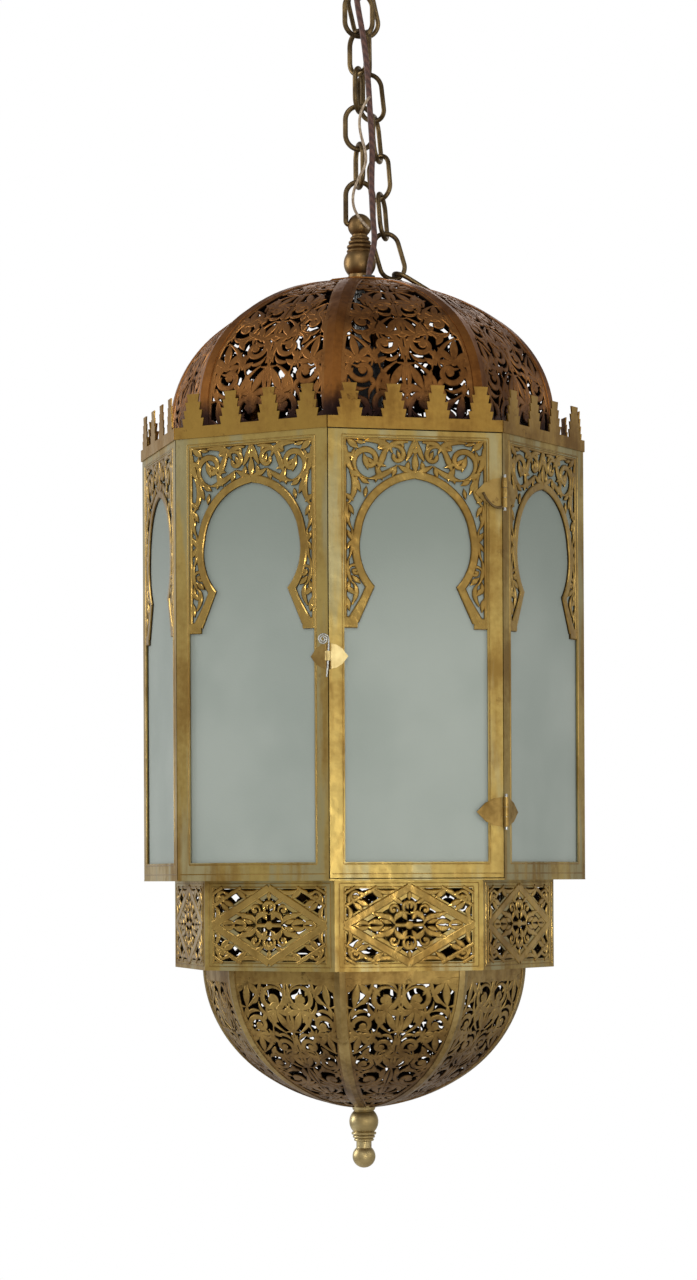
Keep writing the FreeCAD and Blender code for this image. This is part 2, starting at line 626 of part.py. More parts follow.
def bowl_points():
    points = [(size("bowl_apothem"), 0), (size("bowl_flank_apothem"), -size("bowl_flank_depth")),
              (size("bowl_eye"), -size("bowl_depth"))]
    return points, [-size("bowl_flank_radius"), -size("bowl_foot_radius")]


def dome_gores():
    points, radii = dome_points()
    body, profile = curved_sheet("upper_gore", points, radii, size("sheet"))
    pad(body, "upper_gore_pad", profile, "dome_apothem * 2", midplane=True)
    wedge_cut(body, "upper_gore_sides", "dome_apothem")
    holes = sketch(body, "upper_gore_piercing")
    rounds(holes, [("0", "40"), ("0", "66"), ("-26", "38"), ("26", "38"), ("-18", "72"), ("18", "72"),
                   ("-42", "30"), ("42", "30"), ("0", "95"), ("-34", "56"), ("34", "56")], "gore_hole_radius")
    pocket(body, "upper_gore_holes", holes, reverse=True)
    node(ring_of("upper_gores", body, drum_top), "upper_gores")


def bowl_gores():
    points, radii = bowl_points()
    body, profile = curved_sheet("lower_gore", points, radii, size("sheet"))
    pad(body, "lower_gore_pad", profile, "bowl_apothem * 2", midplane=True)
    wedge_cut(body, "lower_gore_sides", "bowl_apothem")
    holes = sketch(body, "lower_gore_piercing")
    rounds(holes, [("0", "-24"), ("0", "-50"), ("-24", "-24"), ("24", "-24"), ("-15", "-60"), ("15", "-60"),
                   ("0", "-78"), ("-28", "-44"), ("28", "-44")], "gore_hole_radius")
    pocket(body, "lower_gore_holes", holes, reverse=True)
    node(ring_of("lower_gores", body, bowl_top), "lower_gores")


def ribs(name, points, radii, length, reach, width, level, cut_eye):
    """Bent strips over the seams between the gores, each made of a half and its mirror image.

    They end at the apothem cut_eye, on the same arc as the gores.
    """
    (x0, z0), (x1, z1), r = points[-2], points[-1], abs(radii[-1])
    chord = Vector(x1 - x0, z1 - z0, 0)
    inward = Vector(-abs(chord.y), -abs(chord.x) * math.copysign(1, z1 - z0), 0).normalize()
    centre = Vector((x0 + x1) / 2, (z0 + z1) / 2, 0) + inward * math.sqrt(r * r - chord.Length ** 2 / 4)
    end = centre.y + math.copysign(math.sqrt(r * r - (cut_eye - centre.x) ** 2), z1 - z0)
    points = points[:-1] + [(cut_eye, end)]
    body, profile = curved_sheet(f"{name}_half", points, radii, size("sheet"), outward=size("sheet + rib_gap"))
    pad(body, f"{name}_pad", profile, length, midplane=True)
    wedge_cut(body, f"{name}_sides", reach, band=f"({width}) / 2")
    doc.recompute()
    half = body.Shape
    mirror = half.mirror(Vector(0, 0, 0), Vector(math.cos(math.radians(22.5)), math.sin(math.radians(22.5)), 0))
    whole = shaped(f"{name}_strip", half.fuse(mirror).removeSplitter())
    node(ring_of(name, whole, level), name)


# ---- octagonal rings and the crown ---------------------------------------------------------------

def flat_ring(name, level, outer, inner):
    outside = octagon(f"{name}_outside", level, outer, "sheet")
    inside = octagon(f"{name}_inside", level - 1, inner, "sheet + 2")
    node(cut(name, outside, [inside]), name)


def crown_strips():
    """A plain band with stepped merlons whose tiers widen upwards before each step in."""
    body = doc.addObject("PartDesign::Body", "crown_strip")
    profile = sketch(body, "crown_profile", offset=apothem)
    half = size("corner_radius * sin(22.5)")
    count, tiers = int(size("merlons_per_face")), int(size("merlon_tiers"))
    base, tall = size("crown_base"), size("merlon_height")
    foot, over = size("merlon_foot_width"), size("merlon_overhang")
    pitch = 2 * half / count
    tier = tall / tiers
    step = size("(merlon_foot_width - merlon_tip_width) / 2") / tiers
    corners = [(-half, 0), (half, 0), (half, base)]
    edge = []
    for n in range(tiers):
        at = foot / 2 - step * n - over
        edge += [(at, base + tier * n), (at + over, base + tier * (n + 1))]
    for k in reversed(range(count)):
        middle = -half + pitch * (k + 0.5)
        corners += [(middle + x, y) for x, y in edge]
        corners += [(middle - x, y) for x, y in reversed(edge)]
    corners += [(-half, base)]
    lines = [Vector(x, y, 0) for x, y in corners]
    for p, q in zip(lines, lines[1:] + lines[:1]):
        index = profile.addGeometry(Part.LineSegment(p, q))
        profile.addConstraint(Sketcher.Constraint("Block", index))
    pad(body, "crown_pad", profile, "sheet")
    node(ring_of("crown_strips", body, drum_top - size("sheet")), "crown_strips")


# ---- drum faces ----------------------------------------------------------------------------------

def frame(name, k, foot, top, latched=False):
    """A folded tray frame: a front plate with its window, mitred flanges and four bent tabs."""
    body = doc.addObject("PartDesign::Body", name)
    edge = f"({APOTHEM}) * tan(22.5) - panel_gap / 2 / cos(22.5)"
    back = f"({edge}) - {PANEL_DEPTH} * tan(22.5)"
    plan = sketch(body, f"{name}_plan", "XY_Plane", size(foot))
    outline(plan, [(f"-({edge})", f"-({APOTHEM})"), (edge, f"-({APOTHEM})"),
                   (back, f"-({APOTHEM}) + {PANEL_DEPTH}"), (f"-({back})", f"-({APOTHEM}) + {PANEL_DEPTH}")])
    pad(body, f"{name}_pad", plan, f"({top}) - ({foot})")
    window = sketch(body, f"{name}_window")
    clear = f"{APOTHEM} * tan(22.5) - stile_width"
    outline(window, rectangle(f"-({clear})", "bottom_rail", clear, "drum_height - top_rail"))
    pocket(body, f"{name}_opening", window, both=True)
    tray = sketch(body, f"{name}_tray", offset=apothem - size("sheet"))
    inner = f"({back}) - 1"
    outline(tray, rectangle(f"-({inner})", f"({foot}) + sheet", inner, f"({top}) - sheet"))
    pocket(body, f"{name}_recess", tray)
    tabs = sketch(body, f"{name}_tabs", offset=apothem - size(PANEL_DEPTH))
    for side in (1, -1):
        for level in ("drum_height * 0.2", "drum_height * 0.8"):
            near, far = f"{side} * (({inner}) + 0.5)", f"{side} * (({inner}) - tab_reach)"
            outline(tabs, rectangle(near, f"{level} - tab_length / 2", far, f"{level} + tab_length / 2"))
    pad(body, f"{name}_tab_pad", tabs, "tab_thick")
    if latched:
        relief = sketch(body, f"{name}_latch_relief")
        hooks = "(corner_radius + hinge_axis_out) * sin(22.5)"
        half = "latch_height / 2 + latch_relief"
        outline(relief, rectangle(f"-({hooks})", f"latch_level - ({half})",
                                  f"-({hooks}) + knuckle_radius + latch_relief", f"latch_level + {half}"))
        pocket(body, f"{name}_latch_notch", relief, both=True)
    body.Placement = Placement(Vector(0, 0, drum_floor), face_turn(k))
    node(body, name)


def arch_screen(name, k, top):
    """A pierced sheet behind the window's upper part, with a horseshoe arch below."""
    body = doc.addObject("PartDesign::Body", name)
    profile = sketch(body, f"{name}_profile", offset=apothem - size("sheet + screen_sheet"))
    side = f"({APOTHEM}) * tan(22.5) - panel_gap / 2 / cos(22.5) - {PANEL_DEPTH} * tan(22.5) - 1 - fit_gap"
    upper, lower = size("arch_upper_radius"), size("arch_lower_radius")
    screen_foot, apex, widest, cusp, arch_foot = (
        f"drum_height - {drop}" for drop in
        ("screen_drop", "arch_apex_drop", "arch_widest_drop", "arch_cusp_drop", "arch_foot_drop"))
    corners = [(f"-({side})", screen_foot), ("-arch_foot_half_width", screen_foot),
               ("-arch_foot_half_width", arch_foot), ("-arch_cusp_half_width", cusp, lower),
               ("-arch_half_width", widest, upper), ("0", apex, upper),
               ("arch_half_width", widest, lower), ("arch_cusp_half_width", cusp),
               ("arch_foot_half_width", arch_foot), ("arch_foot_half_width", screen_foot),
               (side, screen_foot), (side, f"({top}) - sheet - fit_gap"),
               (f"-({side})", f"({top}) - sheet - fit_gap")]
    outline(profile, corners)
    pad(body, f"{name}_pad", profile, "screen_sheet")
    holes = sketch(body, f"{name}_piercing")
    rounds(holes, [("0", f"{apex} + 14"), ("-18", f"{apex} + 12"), ("18", f"{apex} + 12"),
                   ("-36", f"{apex} + 4"), ("36", f"{apex} + 4"), ("-50", f"{apex} + 20"),
                   ("50", f"{apex} + 20"), ("-50", f"{apex} - 12"), ("50", f"{apex} - 12"),
                   ("-52", f"{cusp} + 8"), ("52", f"{cusp} + 8")], "pierced_hole_radius")
    pocket(body, f"{name}_holes", holes, both=True)
    body.Placement = Placement(Vector(0, 0, drum_floor), face_turn(k))
    node(body, name)


def pane(name, k, foot, top):
    side = "(" + APOTHEM + ") * tan(22.5) - panel_gap / 2 / cos(22.5) - " + PANEL_DEPTH + " * tan(22.5) - 1 - fit_gap"
    corner = Vector(-size(side), -apothem + size("sheet + screen_sheet"),
                    drum_floor + size(foot) + size("sheet + fit_gap"))
    thing = primitive("Box", name, Length=f"2 * ({side})", Width="glass_thick",
                      Height=f"({top}) - ({foot}) - 2 * sheet - 2 * fit_gap")
    thing.Placement = Placement(Vector(0, 0, 0), face_turn(k)) * Placement(corner, Rotation())
    node(thing, name)


def drum_faces():
    for k in range(8):
        word = "door_" if k == 0 else "wall_"
        tail = "" if k == 0 else f"_{k}"
        foot, top = ("door_gap", "drum_height - door_gap") if k == 0 else ("0", "drum_height")
        frame(f"{word}frame{tail}", k, foot, top, latched=k == 0)
        arch_screen(f"{word}screen{tail}", k, top)
        pane(f"{word}glass{tail}", k, foot, top)


# ---- collar --------------------------------------------------------------------------------------

def collar_panels():
    """One sheet per face, pierced to leave a border and a lozenge of straps."""
    body = doc.addObject("PartDesign::Body", "collar_panel")
    out = "collar_radius * cos(22.5)"
    half = "collar_radius * sin(22.5)"
    plate = sketch(body, "collar_profile", offset=size(out) - size("sheet"))
    outline(plate, rectangle(f"-({half})", "-collar_height", half, "0"))
    pad(body, "collar_pad", plate, "sheet")
    wedge_cut(body, "collar_mitres", "collar_radius")
    x, y, mid = f"({half} - collar_stile)", "(collar_height / 2 - collar_rail)", "(0 - collar_height / 2)"
    strap = "strap_width"
    holes = sketch(body, "collar_piercing")
    outline(holes, [(f"-({x} - {strap} * 2)", mid), ("0", f"{mid} - ({y} - {strap})"),
                    (f"{x} - {strap} * 2", mid), ("0", f"{mid} + ({y} - {strap})")])
    for right in (1, -1):
        for up in (1, -1):
            outline(holes, [(f"{right} * {x}", f"{mid} + {up} * {strap}"), (f"{right} * {x}", f"{mid} + {up} * {y}"),
                            (f"{right} * {strap} * 2", f"{mid} + {up} * {y}")])
    pocket(body, "collar_holes", holes, both=True)
    node(ring_of("collar_panels", body, collar_top), "collar_panels")


# ---- hinges and latch ----------------------------------------------------------------------------

def leaf(name, side, turn, height, length, tongue, level, knuckles, bore, open_hook=False):
    """A leaf-shaped plate on a face, with the knuckles on its tongue.

    side is 1 if its corner is the face's right-hand one, and knuckles are (low, high) about the level.
    """
    axis = size("corner_radius + hinge_axis_out")
    centre = Vector(side * axis * math.sin(math.radians(22.5)), -axis * math.cos(math.radians(22.5)), 0)
    near, tip = abs(centre.x) - size("knuckle_radius") - 0.8, abs(centre.x) - 3.2 - length
    high = height / 2
    rim = [(tip, 0), (tip + 0.35 * length, 0.62 * high), (tip + 0.7 * length, 0.92 * high), (near, high)]
    points = rim + [(near, -high)] + [(x, -z) for x, z in reversed(rim[1:3])]
    plate = Part.Face(Part.makePolygon([Vector(side * x, -apothem, level + z) for x, z in points + points[:1]]))
    solid = plate.extrude(Vector(0, -size("leaf_thick"), 0))
    for low, top in tongue:
        overlap = 0.2
        x0 = min(side * near, centre.x) - (overlap if side > 0 else 0)
        strip = Part.makeBox(abs(centre.x) - near + overlap, size("leaf_thick"), top - low,
                             Vector(x0, -apothem - size("leaf_thick"), level + low))
        solid = solid.fuse(strip)
    for low, top in knuckles:
        barrel = Part.makeCylinder(size("knuckle_radius"), top - low, centre + Vector(0, 0, level + low))
        solid = solid.fuse(barrel)
    hole = Part.makeCylinder(bore, height + 10, centre + Vector(0, 0, level - height / 2 - 5))
    if open_hook:
        mouth = Part.makeBox(2 * bore, 10, height + 10, Vector(centre.x - bore, centre.y - 10, level - height / 2 - 5))
        far = Part.makeBox(20, 10, height + 10, Vector(centre.x - 10, centre.y - 10 - 0.2, level - height / 2 - 5))
        turned = Rotation(Vector(0, 0, 1), -turn)
        for shape in (mouth, far):
            shape.rotate(centre, Vector(0, 0, 1), -turn)
        hole = hole.fuse([mouth, far])
    solid = solid.cut(hole).removeSplitter()
    solid.Placement = Placement(Vector(0, 0, drum_floor), Rotation(Vector(0, 0, 1), turn))
    return solid


def hinges():
    height, knuckle, play = size("hinge_height"), size("hinge_knuckle"), size("hinge_play")
    middle = [(-knuckle / 2, knuckle / 2)]
    ends = [(-height / 2, -knuckle / 2 - play), (knuckle / 2 + play, height / 2)]
    length = size("leaf_length")
    tight, free = size("pin_radius"), size("pin_radius + pin_play")
    levels = (size("hinge_low"), size("drum_height - hinge_drop"))
    fixed = [leaf("fixed", -1, 45, height, length, ends, z, ends, tight) for z in levels]
    moving = [leaf("moving", 1, 0, height, length, middle, z, middle, free) for z in levels]
    node(shaped("hinge_frame_leaves", Part.makeCompound(fixed)), "hinge_frame_leaves")
    node(shaped("hinge_door_leaves", Part.makeCompound(moving)), "hinge_door_leaves")
    axis = size("corner_radius + hinge_axis_out")
    place = Vector(axis * math.sin(math.radians(22.5)), -axis * math.cos(math.radians(22.5)), 0)
    pins = [Part.makeCylinder(tight, height + 5, place + Vector(0, 0, drum_floor + z - height / 2 - 2.5))
            for z in levels]
    node(shaped("hinge_pins", Part.makeCompound(pins)), "hinge_pins")


def latch():
    """The pin slides in the door's knuckle; the hooks on the next frame are open towards the door's way out."""
    height, knuckle, play = size("latch_height"), size("hinge_knuckle"), size("hinge_play")
    middle = [(-knuckle / 2, knuckle / 2)]
    ends = [(-height / 2, -knuckle / 2 - play), (knuckle / 2 + play, height / 2)]
    level, length = size("latch_level"), size("latch_leaf_length")
    free = size("pin_radius + pin_play")
    node(shaped("latch_door_leaf", leaf("door", -1, 0, height, length, middle, level, middle, free)),
         "latch_door_leaf")
    hook = size("pin_radius + latch_hook_play")
    node(shaped("latch_frame_leaf", leaf("hook", 1, -45, height, length, ends, level, ends, hook, open_hook=True)),
         "latch_frame_leaf")
    axis = size("corner_radius + hinge_axis_out")
    r, wire = size("pin_radius"), size("pin_radius")
    place = Vector(-axis * math.sin(math.radians(22.5)), -axis * math.cos(math.radians(22.5)), drum_floor + level)
    long = size("latch_pin_length")
    rod = Part.makeCylinder(r, long - 8, place + Vector(0, 0, height / 2 + 4 - (long - 8)))
    head = Part.makeTorus(3.4, wire, place + Vector(0, 0, height / 2 + 4 + 3.4 + 0.6), Vector(0, 1, 0))
    node(shaped("latch_pin", rod.fuse(head).removeSplitter()), "latch_pin")


# ---- the assembly --------------------------------------------------------------------------------

ceiling_plate()
canopy()
ceiling_eye()
ceiling_hook()
main_chain()
spare_chain()
supply_cord()
earth_wire()
upper_finial()
dome_cap()
cord_grommet()
hanging_rod()
rod_nuts()
lampholder()
dome_gores()
ribs("upper_ribs", *dome_points(), "dome_apothem * 2", "dome_apothem", "dome_rib_width", drum_top,
     size("dome_eye + 0.5"))
flat_ring("top_ring", drum_top - size("sheet"), "corner_radius", "(dome_apothem - 8) / cos(22.5)")
crown_strips()
drum_faces()
flat_ring("base_ring", drum_floor - size("sheet"), "corner_radius", "collar_radius - 14")
collar_panels()
flat_ring("collar_ring", collar_foot - size("sheet"), "collar_radius", "(bowl_apothem - 8) / cos(22.5)")
bowl_gores()
ribs("lower_ribs", *bowl_points(), "bowl_apothem * 2", "bowl_apothem", "bowl_rib_width", bowl_top,
     size("tail_bulb_radius + 1"))
lower_finial()
hinges()
latch()

doc.recompute()
for thing in doc.Objects:
    if "Invalid" in thing.State or "Error" in thing.State:
        raise ValueError(f"{thing.Label} is {thing.State}")
for thing in nodes:
    if thing.Shape.isNull() or not thing.Shape.isValid():
        raise ValueError(f"{thing.Label} has no valid shape")
for thing in nodes:
    thing.Shape.exportStep(f"parts/{thing.Label}.step")
print(len(nodes), "nodes; drum floor at", round(drum_floor, 2), "lowest", round(bowl_foot, 2))
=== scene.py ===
# %% [markdown]
# # An octagonal brass lantern
# The CAD model fixes every size and every joint. This lesson gives it its finish: the camera, the flexes, the
# chased fretwork of the panels, the turned finials, and then brass, glass and light. The imported model is
# loaded first, and its box is kept.

# %% Load the frame
import json
import math
import bpy
import numpy as np
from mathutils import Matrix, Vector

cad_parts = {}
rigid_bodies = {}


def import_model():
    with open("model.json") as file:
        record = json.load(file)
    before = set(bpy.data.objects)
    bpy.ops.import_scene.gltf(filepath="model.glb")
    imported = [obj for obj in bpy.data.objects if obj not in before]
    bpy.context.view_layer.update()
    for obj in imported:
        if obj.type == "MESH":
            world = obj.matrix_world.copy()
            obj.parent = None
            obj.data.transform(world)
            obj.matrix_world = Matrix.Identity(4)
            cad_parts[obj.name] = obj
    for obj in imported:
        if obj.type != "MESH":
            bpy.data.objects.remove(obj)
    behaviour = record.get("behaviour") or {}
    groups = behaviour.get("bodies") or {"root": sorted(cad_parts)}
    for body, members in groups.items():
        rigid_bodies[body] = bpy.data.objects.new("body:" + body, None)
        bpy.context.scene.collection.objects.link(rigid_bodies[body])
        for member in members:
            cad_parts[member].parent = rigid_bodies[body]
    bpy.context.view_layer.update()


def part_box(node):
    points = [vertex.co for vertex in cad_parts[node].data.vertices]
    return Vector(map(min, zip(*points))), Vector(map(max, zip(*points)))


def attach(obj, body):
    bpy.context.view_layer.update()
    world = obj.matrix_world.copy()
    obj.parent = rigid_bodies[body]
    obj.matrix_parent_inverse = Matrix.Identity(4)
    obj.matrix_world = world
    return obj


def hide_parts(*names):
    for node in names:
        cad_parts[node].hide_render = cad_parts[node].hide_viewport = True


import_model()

# %% [markdown]
# ## The camera
# A lantern is looked at from the height of its drum's floor, so that the dome is seen from a little below and
# the bowl from a little above. The lens shift keeps the camera level, and so the upright edges stay upright:
# tilting it would make them lean together. The door's middle is turned a little to the viewer's right.

# %% Place the camera
DRUM_FLOOR = -0.83085
DISTANCE = 2.812
VIEW_TURN = math.radians(14.5)
ROLL = math.radians(-0.27)
LENS, SHIFT_X, SHIFT_Y = 92.7, -0.0111, 0.1867
toward_camera = np.array([-math.sin(VIEW_TURN), -math.cos(VIEW_TURN), 0.0])
camera_data = bpy.data.cameras.new("camera")
camera = bpy.data.objects.new("camera", camera_data)
bpy.context.scene.collection.objects.link(camera)
camera.location = DISTANCE * toward_camera + np.array([0, 0, DRUM_FLOOR])
camera.rotation_euler = (math.radians(90), 0, -VIEW_TURN)
camera.rotation_euler.rotate_axis("Z", ROLL)
camera_data.lens = LENS
camera_data.shift_x = SHIFT_X
camera_data.shift_y = SHIFT_Y
camera_data.clip_end = 60
bpy.context.scene.camera = camera
print("camera at", [round(value, 3) for value in camera.location])

# %% [markdown]
# ## The two flexes
# The supply cord is a limp twin flex that hangs from the canopy and goes into the dome. The thin earth wire
# wanders from the chain down to the cord. Each is one smooth NURBS curve whose control points are the route;
# a chain of straight bars with rounded corners would look like bent wire. The order is set after the points
# are there, because before that it falls back to straight runs. A tube's radius is bevel depth times point
# radius, and a curve's box is padded by the point radius alone, so the real radius sits on the points and the
# depth is 1 m.

# %% Hang the flexes
def flex(name, route, diameter):
    """A NURBS spline of order 3 through a route in millimetres, swept with a circle of that diameter."""
    line = bpy.data.curves.new(name, "CURVE")
    line.dimensions = "3D"
    line.bevel_depth = 1.0
    line.bevel_resolution = 6
    line.resolution_u = 16
    line.use_fill_caps = True
    spline = line.splines.new("NURBS")
    spline.points.add(len(route) - 1)
    spline.points.foreach_set("co", np.c_[np.array(route) / 1000, np.ones(len(route))].ravel())
    spline.points.foreach_set("radius", np.full(len(route), diameter / 2))
    spline.order_u = 3
    spline.use_endpoint_u = True
    piece = bpy.data.objects.new(name, line)
    bpy.context.scene.collection.objects.link(piece)
    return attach(piece, "lantern")


CORD_ROUTE = [(-11, -21, -10), (-10.5, -20.5, -44), (-7, -18, -84), (0, -17, -118), (3.5, -17.5, -152),
              (5, -18, -182), (7, -18, -212), (6, -17, -240), (7, -17, -268), (9, -17.5, -290),
              (5, -17.6, -305), (3.2, -17.8, -317), (3, -17.8, -330), (3, -17, -345), (3, -14, -360),
              (3, -13, -373), (3, -13, -387)]
EARTH_ROUTE = [(4, -21.5, -168), (-2, -20, -176), (-5, -18.5, -188), (-3.5, -18, -200), (1, -18.5, -214),
               (1, -18.5, -226), (-6, -18, -238), (-10.5, -17.5, -250), (-10, -17, -262),
               (-3.5, -16.5, -272), (3, -20.5, -280)]
cord = flex("flex_supply", CORD_ROUTE, 0.005)
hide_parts("supply_cord")
earth = flex("flex_earth", EARTH_ROUTE, 0.0024)
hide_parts("earth_wire")
print("flexes:", cord.name, earth.name)

# %% [markdown]
# ## Chased fretwork
# A brass worker saws the pattern out of sheet and then hammers every scroll to a rounded ridge. Each scroll
# here is one stroke: a centre line with a half width at each sample, carried along as a low ridge. A panel's
# strokes are one array, so the whole panel is worked out at once. Sawing holes in a plane with booleans would
# be far slower and would leave no ridge to catch the light.

# %% Strokes of a pattern, in millimetres on a flat panel
short = np.linspace(0, 1, 12)
long = np.linspace(0, 1, 40)


def curl(x, y, radius, start, turns, width, hand=1):
    """A spiral about (x, y): the angle grows evenly, the radius shrinks from 1 to 0.2 of its first."""
    angle = math.radians(start) + hand * turns * 2 * np.pi * long
    reach = radius * (1 - 0.8 * long ** 0.9)
    half = width * np.minimum(1, 0.25 + 2.2 * long) * (1 - 0.25 * long)
    return np.c_[x + reach * np.cos(angle), y + reach * np.sin(angle), half]


def bent(start, bend, end, along):
    """A quadratic curve (1-t)^2 start + 2t(1-t) bend + t^2 end, one row for each t."""
    t = along[:, None]
    return (1 - t) ** 2 * np.array(start) + 2 * t * (1 - t) * np.array(bend) + t ** 2 * np.array(end)


def sweep(start, bend, end, width, root=0.3):
    """A stroke along a bent line, widest in the middle; root is the share of the width left at its ends."""
    line = bent(start, bend, end, short)
    return np.c_[line, width * (root + (1 - root) * np.sin(np.pi * np.clip(short, 0.02, 0.98)))]


def bud(x, y, length, width, lean=90):
    """A pointed leaf from (x, y), as long as stated, in the direction lean degrees."""
    tip = np.array([x, y]) + length * np.array([math.cos(math.radians(lean)), math.sin(math.radians(lean))])
    return sweep((x, y), (np.array([x, y]) + tip) / 2, tip, width, root=0.06)


def boss(x, y, radius):
    """A round boss: samples bunched by a cosine, with the half width of a circle at each."""
    offset = -np.cos(np.pi * short)
    return np.c_[x + radius * offset, np.full(short.size, float(y)), radius * np.sqrt(1.0004 - offset ** 2)]


def strap(start, end, width):
    """A straight strap of one width."""
    line = np.array(start) + short[:, None] * (np.array(end) - np.array(start))
    return np.c_[line, np.full(short.size, float(width))]


def both_sides(strokes):
    """The strokes and their mirror image in the panel's middle line."""
    return strokes + [stroke * [-1, 1, 1] for stroke in strokes]


print("a curl has", long.size, "samples, a leaf", short.size)

# %% [markdown]
# The drum's screens fill the window above a horseshoe arch. A plain strap follows the arch, big scrolls lie
# in the upper corners, a heart and a bud stand at the top, and a leafy stem runs down each side. The arch's
# own line is made of circular arcs, as a compass would lay it out.

# %% The screen's pattern
FLOOR_TO_APEX, WIDEST, CUSP, FOOT = 320.7, 276.6, 234.0, 209.0


def arc(start, end, radius, count):
    """Points on a circle of that radius from start to end, bulging to the right of the way there."""
    start, end = np.array(start, float), np.array(end, float)
    chord = end - start
    length = np.linalg.norm(chord)
    side = np.array([chord[1], -chord[0]]) / length
    centre = (start + end) / 2 - side * math.sqrt(max(radius ** 2 - length ** 2 / 4, 0))
    first = math.atan2(*(start - centre)[::-1])
    turn = 2 * math.asin(min(1, length / 2 / radius))
    angle = first + np.linspace(0, turn, count)
    return centre + radius * np.c_[np.cos(angle), np.sin(angle)]


def along_line(line, half, count=40):
    """A stroke along a line of points, spaced evenly by its length."""
    run = np.r_[0, np.cumsum(np.linalg.norm(np.diff(line, axis=0), axis=1))]
    even = np.linspace(0, run[-1], count)
    return np.c_[np.interp(even, run, line[:, 0]), np.interp(even, run, line[:, 1]), np.full(count, half)]


def arch_strap(shift, half):
    """The arch from its cusp to its apex, moved outwards by shift, which is the strap's middle line."""
    lower = arc((34, CUSP), (45, WIDEST), 46, 30)
    upper = arc((45, WIDEST), (0, FLOOR_TO_APEX), 50, 40)
    line = np.concatenate([lower[:-1], upper])
    way = np.gradient(line, axis=0)
    outward = np.c_[way[:, 1], -way[:, 0]] / np.linalg.norm(way, axis=1)[:, None]
    moved = line + shift * outward
    moved = moved[moved[:, 0] > 0]
    return along_line(np.concatenate([moved, [[0, FLOOR_TO_APEX + 1.15 * shift]]]), half, 48)


PATTERN_SIDE = 60.0  # mm from the middle line, as far out as a sample may lie


def broader(strokes, factor):
    """The same strokes with their half widths times a factor, and no sample beyond the pattern's side."""
    return [np.c_[np.minimum(stroke[:, 0], PATTERN_SIDE), stroke[:, 1], stroke[:, 2] * factor]
            for stroke in strokes]


def screen_strokes():
    """Half of the screen's strokes, mirrored."""
    border = [arch_strap(3.2, 3.4), strap((37.4, CUSP + 0.8), (50.5, FOOT - 3), 3.5),
              strap((41, CUSP - 7), (54, FOOT - 3), 3.0), strap((48.5, FOOT - 4), (60, FOOT - 4), 4.6),
              strap((58.4, FOOT - 8), (58.4, 353), 1.5), strap((0, 352.2), (60, 352.2), 1.3)]
    half = [curl(39, 334.5, 14.8, 262, 1.1, 2.5, 1), bud(39, 327, 14, 2.3, 74), bud(33, 331, 10, 1.7, 40),
             sweep((38, 320), (27, 321), (15, 331), 2.3), sweep((42, 350), (24, 353), (19, 341), 2.3),
             curl(15.5, 339, 9.2, 20, 1.0, 2.1, 1), bud(12, 335, 9, 1.7, 70),
             sweep((24, 341), (20, 351), (6, 350), 2.1), sweep((1, 326), (8, 327), (14, 331), 2.2),
             sweep((7.5, 335), (3, 342), (1, 352), 2.1), sweep((31, 327), (28, 335), (22, 349), 2.4),
             sweep((51, 325), (58.5, 333), (57, 346), 2.4), bud(47, 344, 13, 2.6, 38),
             bud(50, 338, 10, 2.1, 8),
             bud(31, 344, 11, 2.2, 128), bud(27, 319, 13, 2.4, 62), bud(45, 321, 11, 2.3, 30),
             sweep((54, 326), (46, 312), (55.5, 300), 2.3), bud(45, 309, 16, 2.4, 62),
             bud(38, 316, 10, 2.0, 30),
             bud(51, 302, 9, 2.0, 40), sweep((56, 301), (59, 290), (53, 280), 1.8), bud(51, 291, 11, 1.9, 62),
             bud(57, 285, 9, 1.6, 110), sweep((53, 281), (50.5, 268), (55, 256), 1.8),
             bud(52, 270, 10, 1.9, 62), bud(57, 263, 10, 1.7, 120),
             sweep((55, 257), (59, 246), (52, 236), 1.8),
             curl(50.2, 246.5, 5.8, 330, 1.15, 1.7, 1), boss(50.2, 246.5, 1.6), bud(45.5, 236, 10, 2.0, 40),
             sweep((52, 237), (46, 230), (53, 219), 2.0), bud(50, 227, 11, 2.0, 45),
             bud(56, 229, 10, 1.7, 95),
             bud(55, 214, 12, 2.1, 80), bud(44, 238, 11, 2.0, 74), bud(7, 326, 9, 2.0, 100),
             bud(19, 322, 9, 1.9, 112), bud(33, 317, 8, 1.7, 100), bud(9, 345, 7, 1.4, 60),
             bud(24, 330, 12, 1.8, 20), bud(53, 334, 11, 1.7, 105), bud(21, 347, 10, 1.7, -20),
             bud(50, 350, 9, 1.6, 190), bud(52, 315, 9, 1.7, 120), bud(42, 305, 9, 1.7, 100)]
    middle = [bud(0, 324, 18, 3.0), boss(0, 343, 2.6), bud(0, 343, 9, 2.0)]
    return both_sides(border + broader(half, 1.15)) + middle


screen = screen_strokes()
print("screen:", len(screen), "strokes")

# %% [markdown]
# The collar's panels hold a lozenge of flat straps. Inside it stand a rosette and teardrops, and small
# scrolls fill the four corners. One quarter is drawn, and mirroring it twice gives the panel.

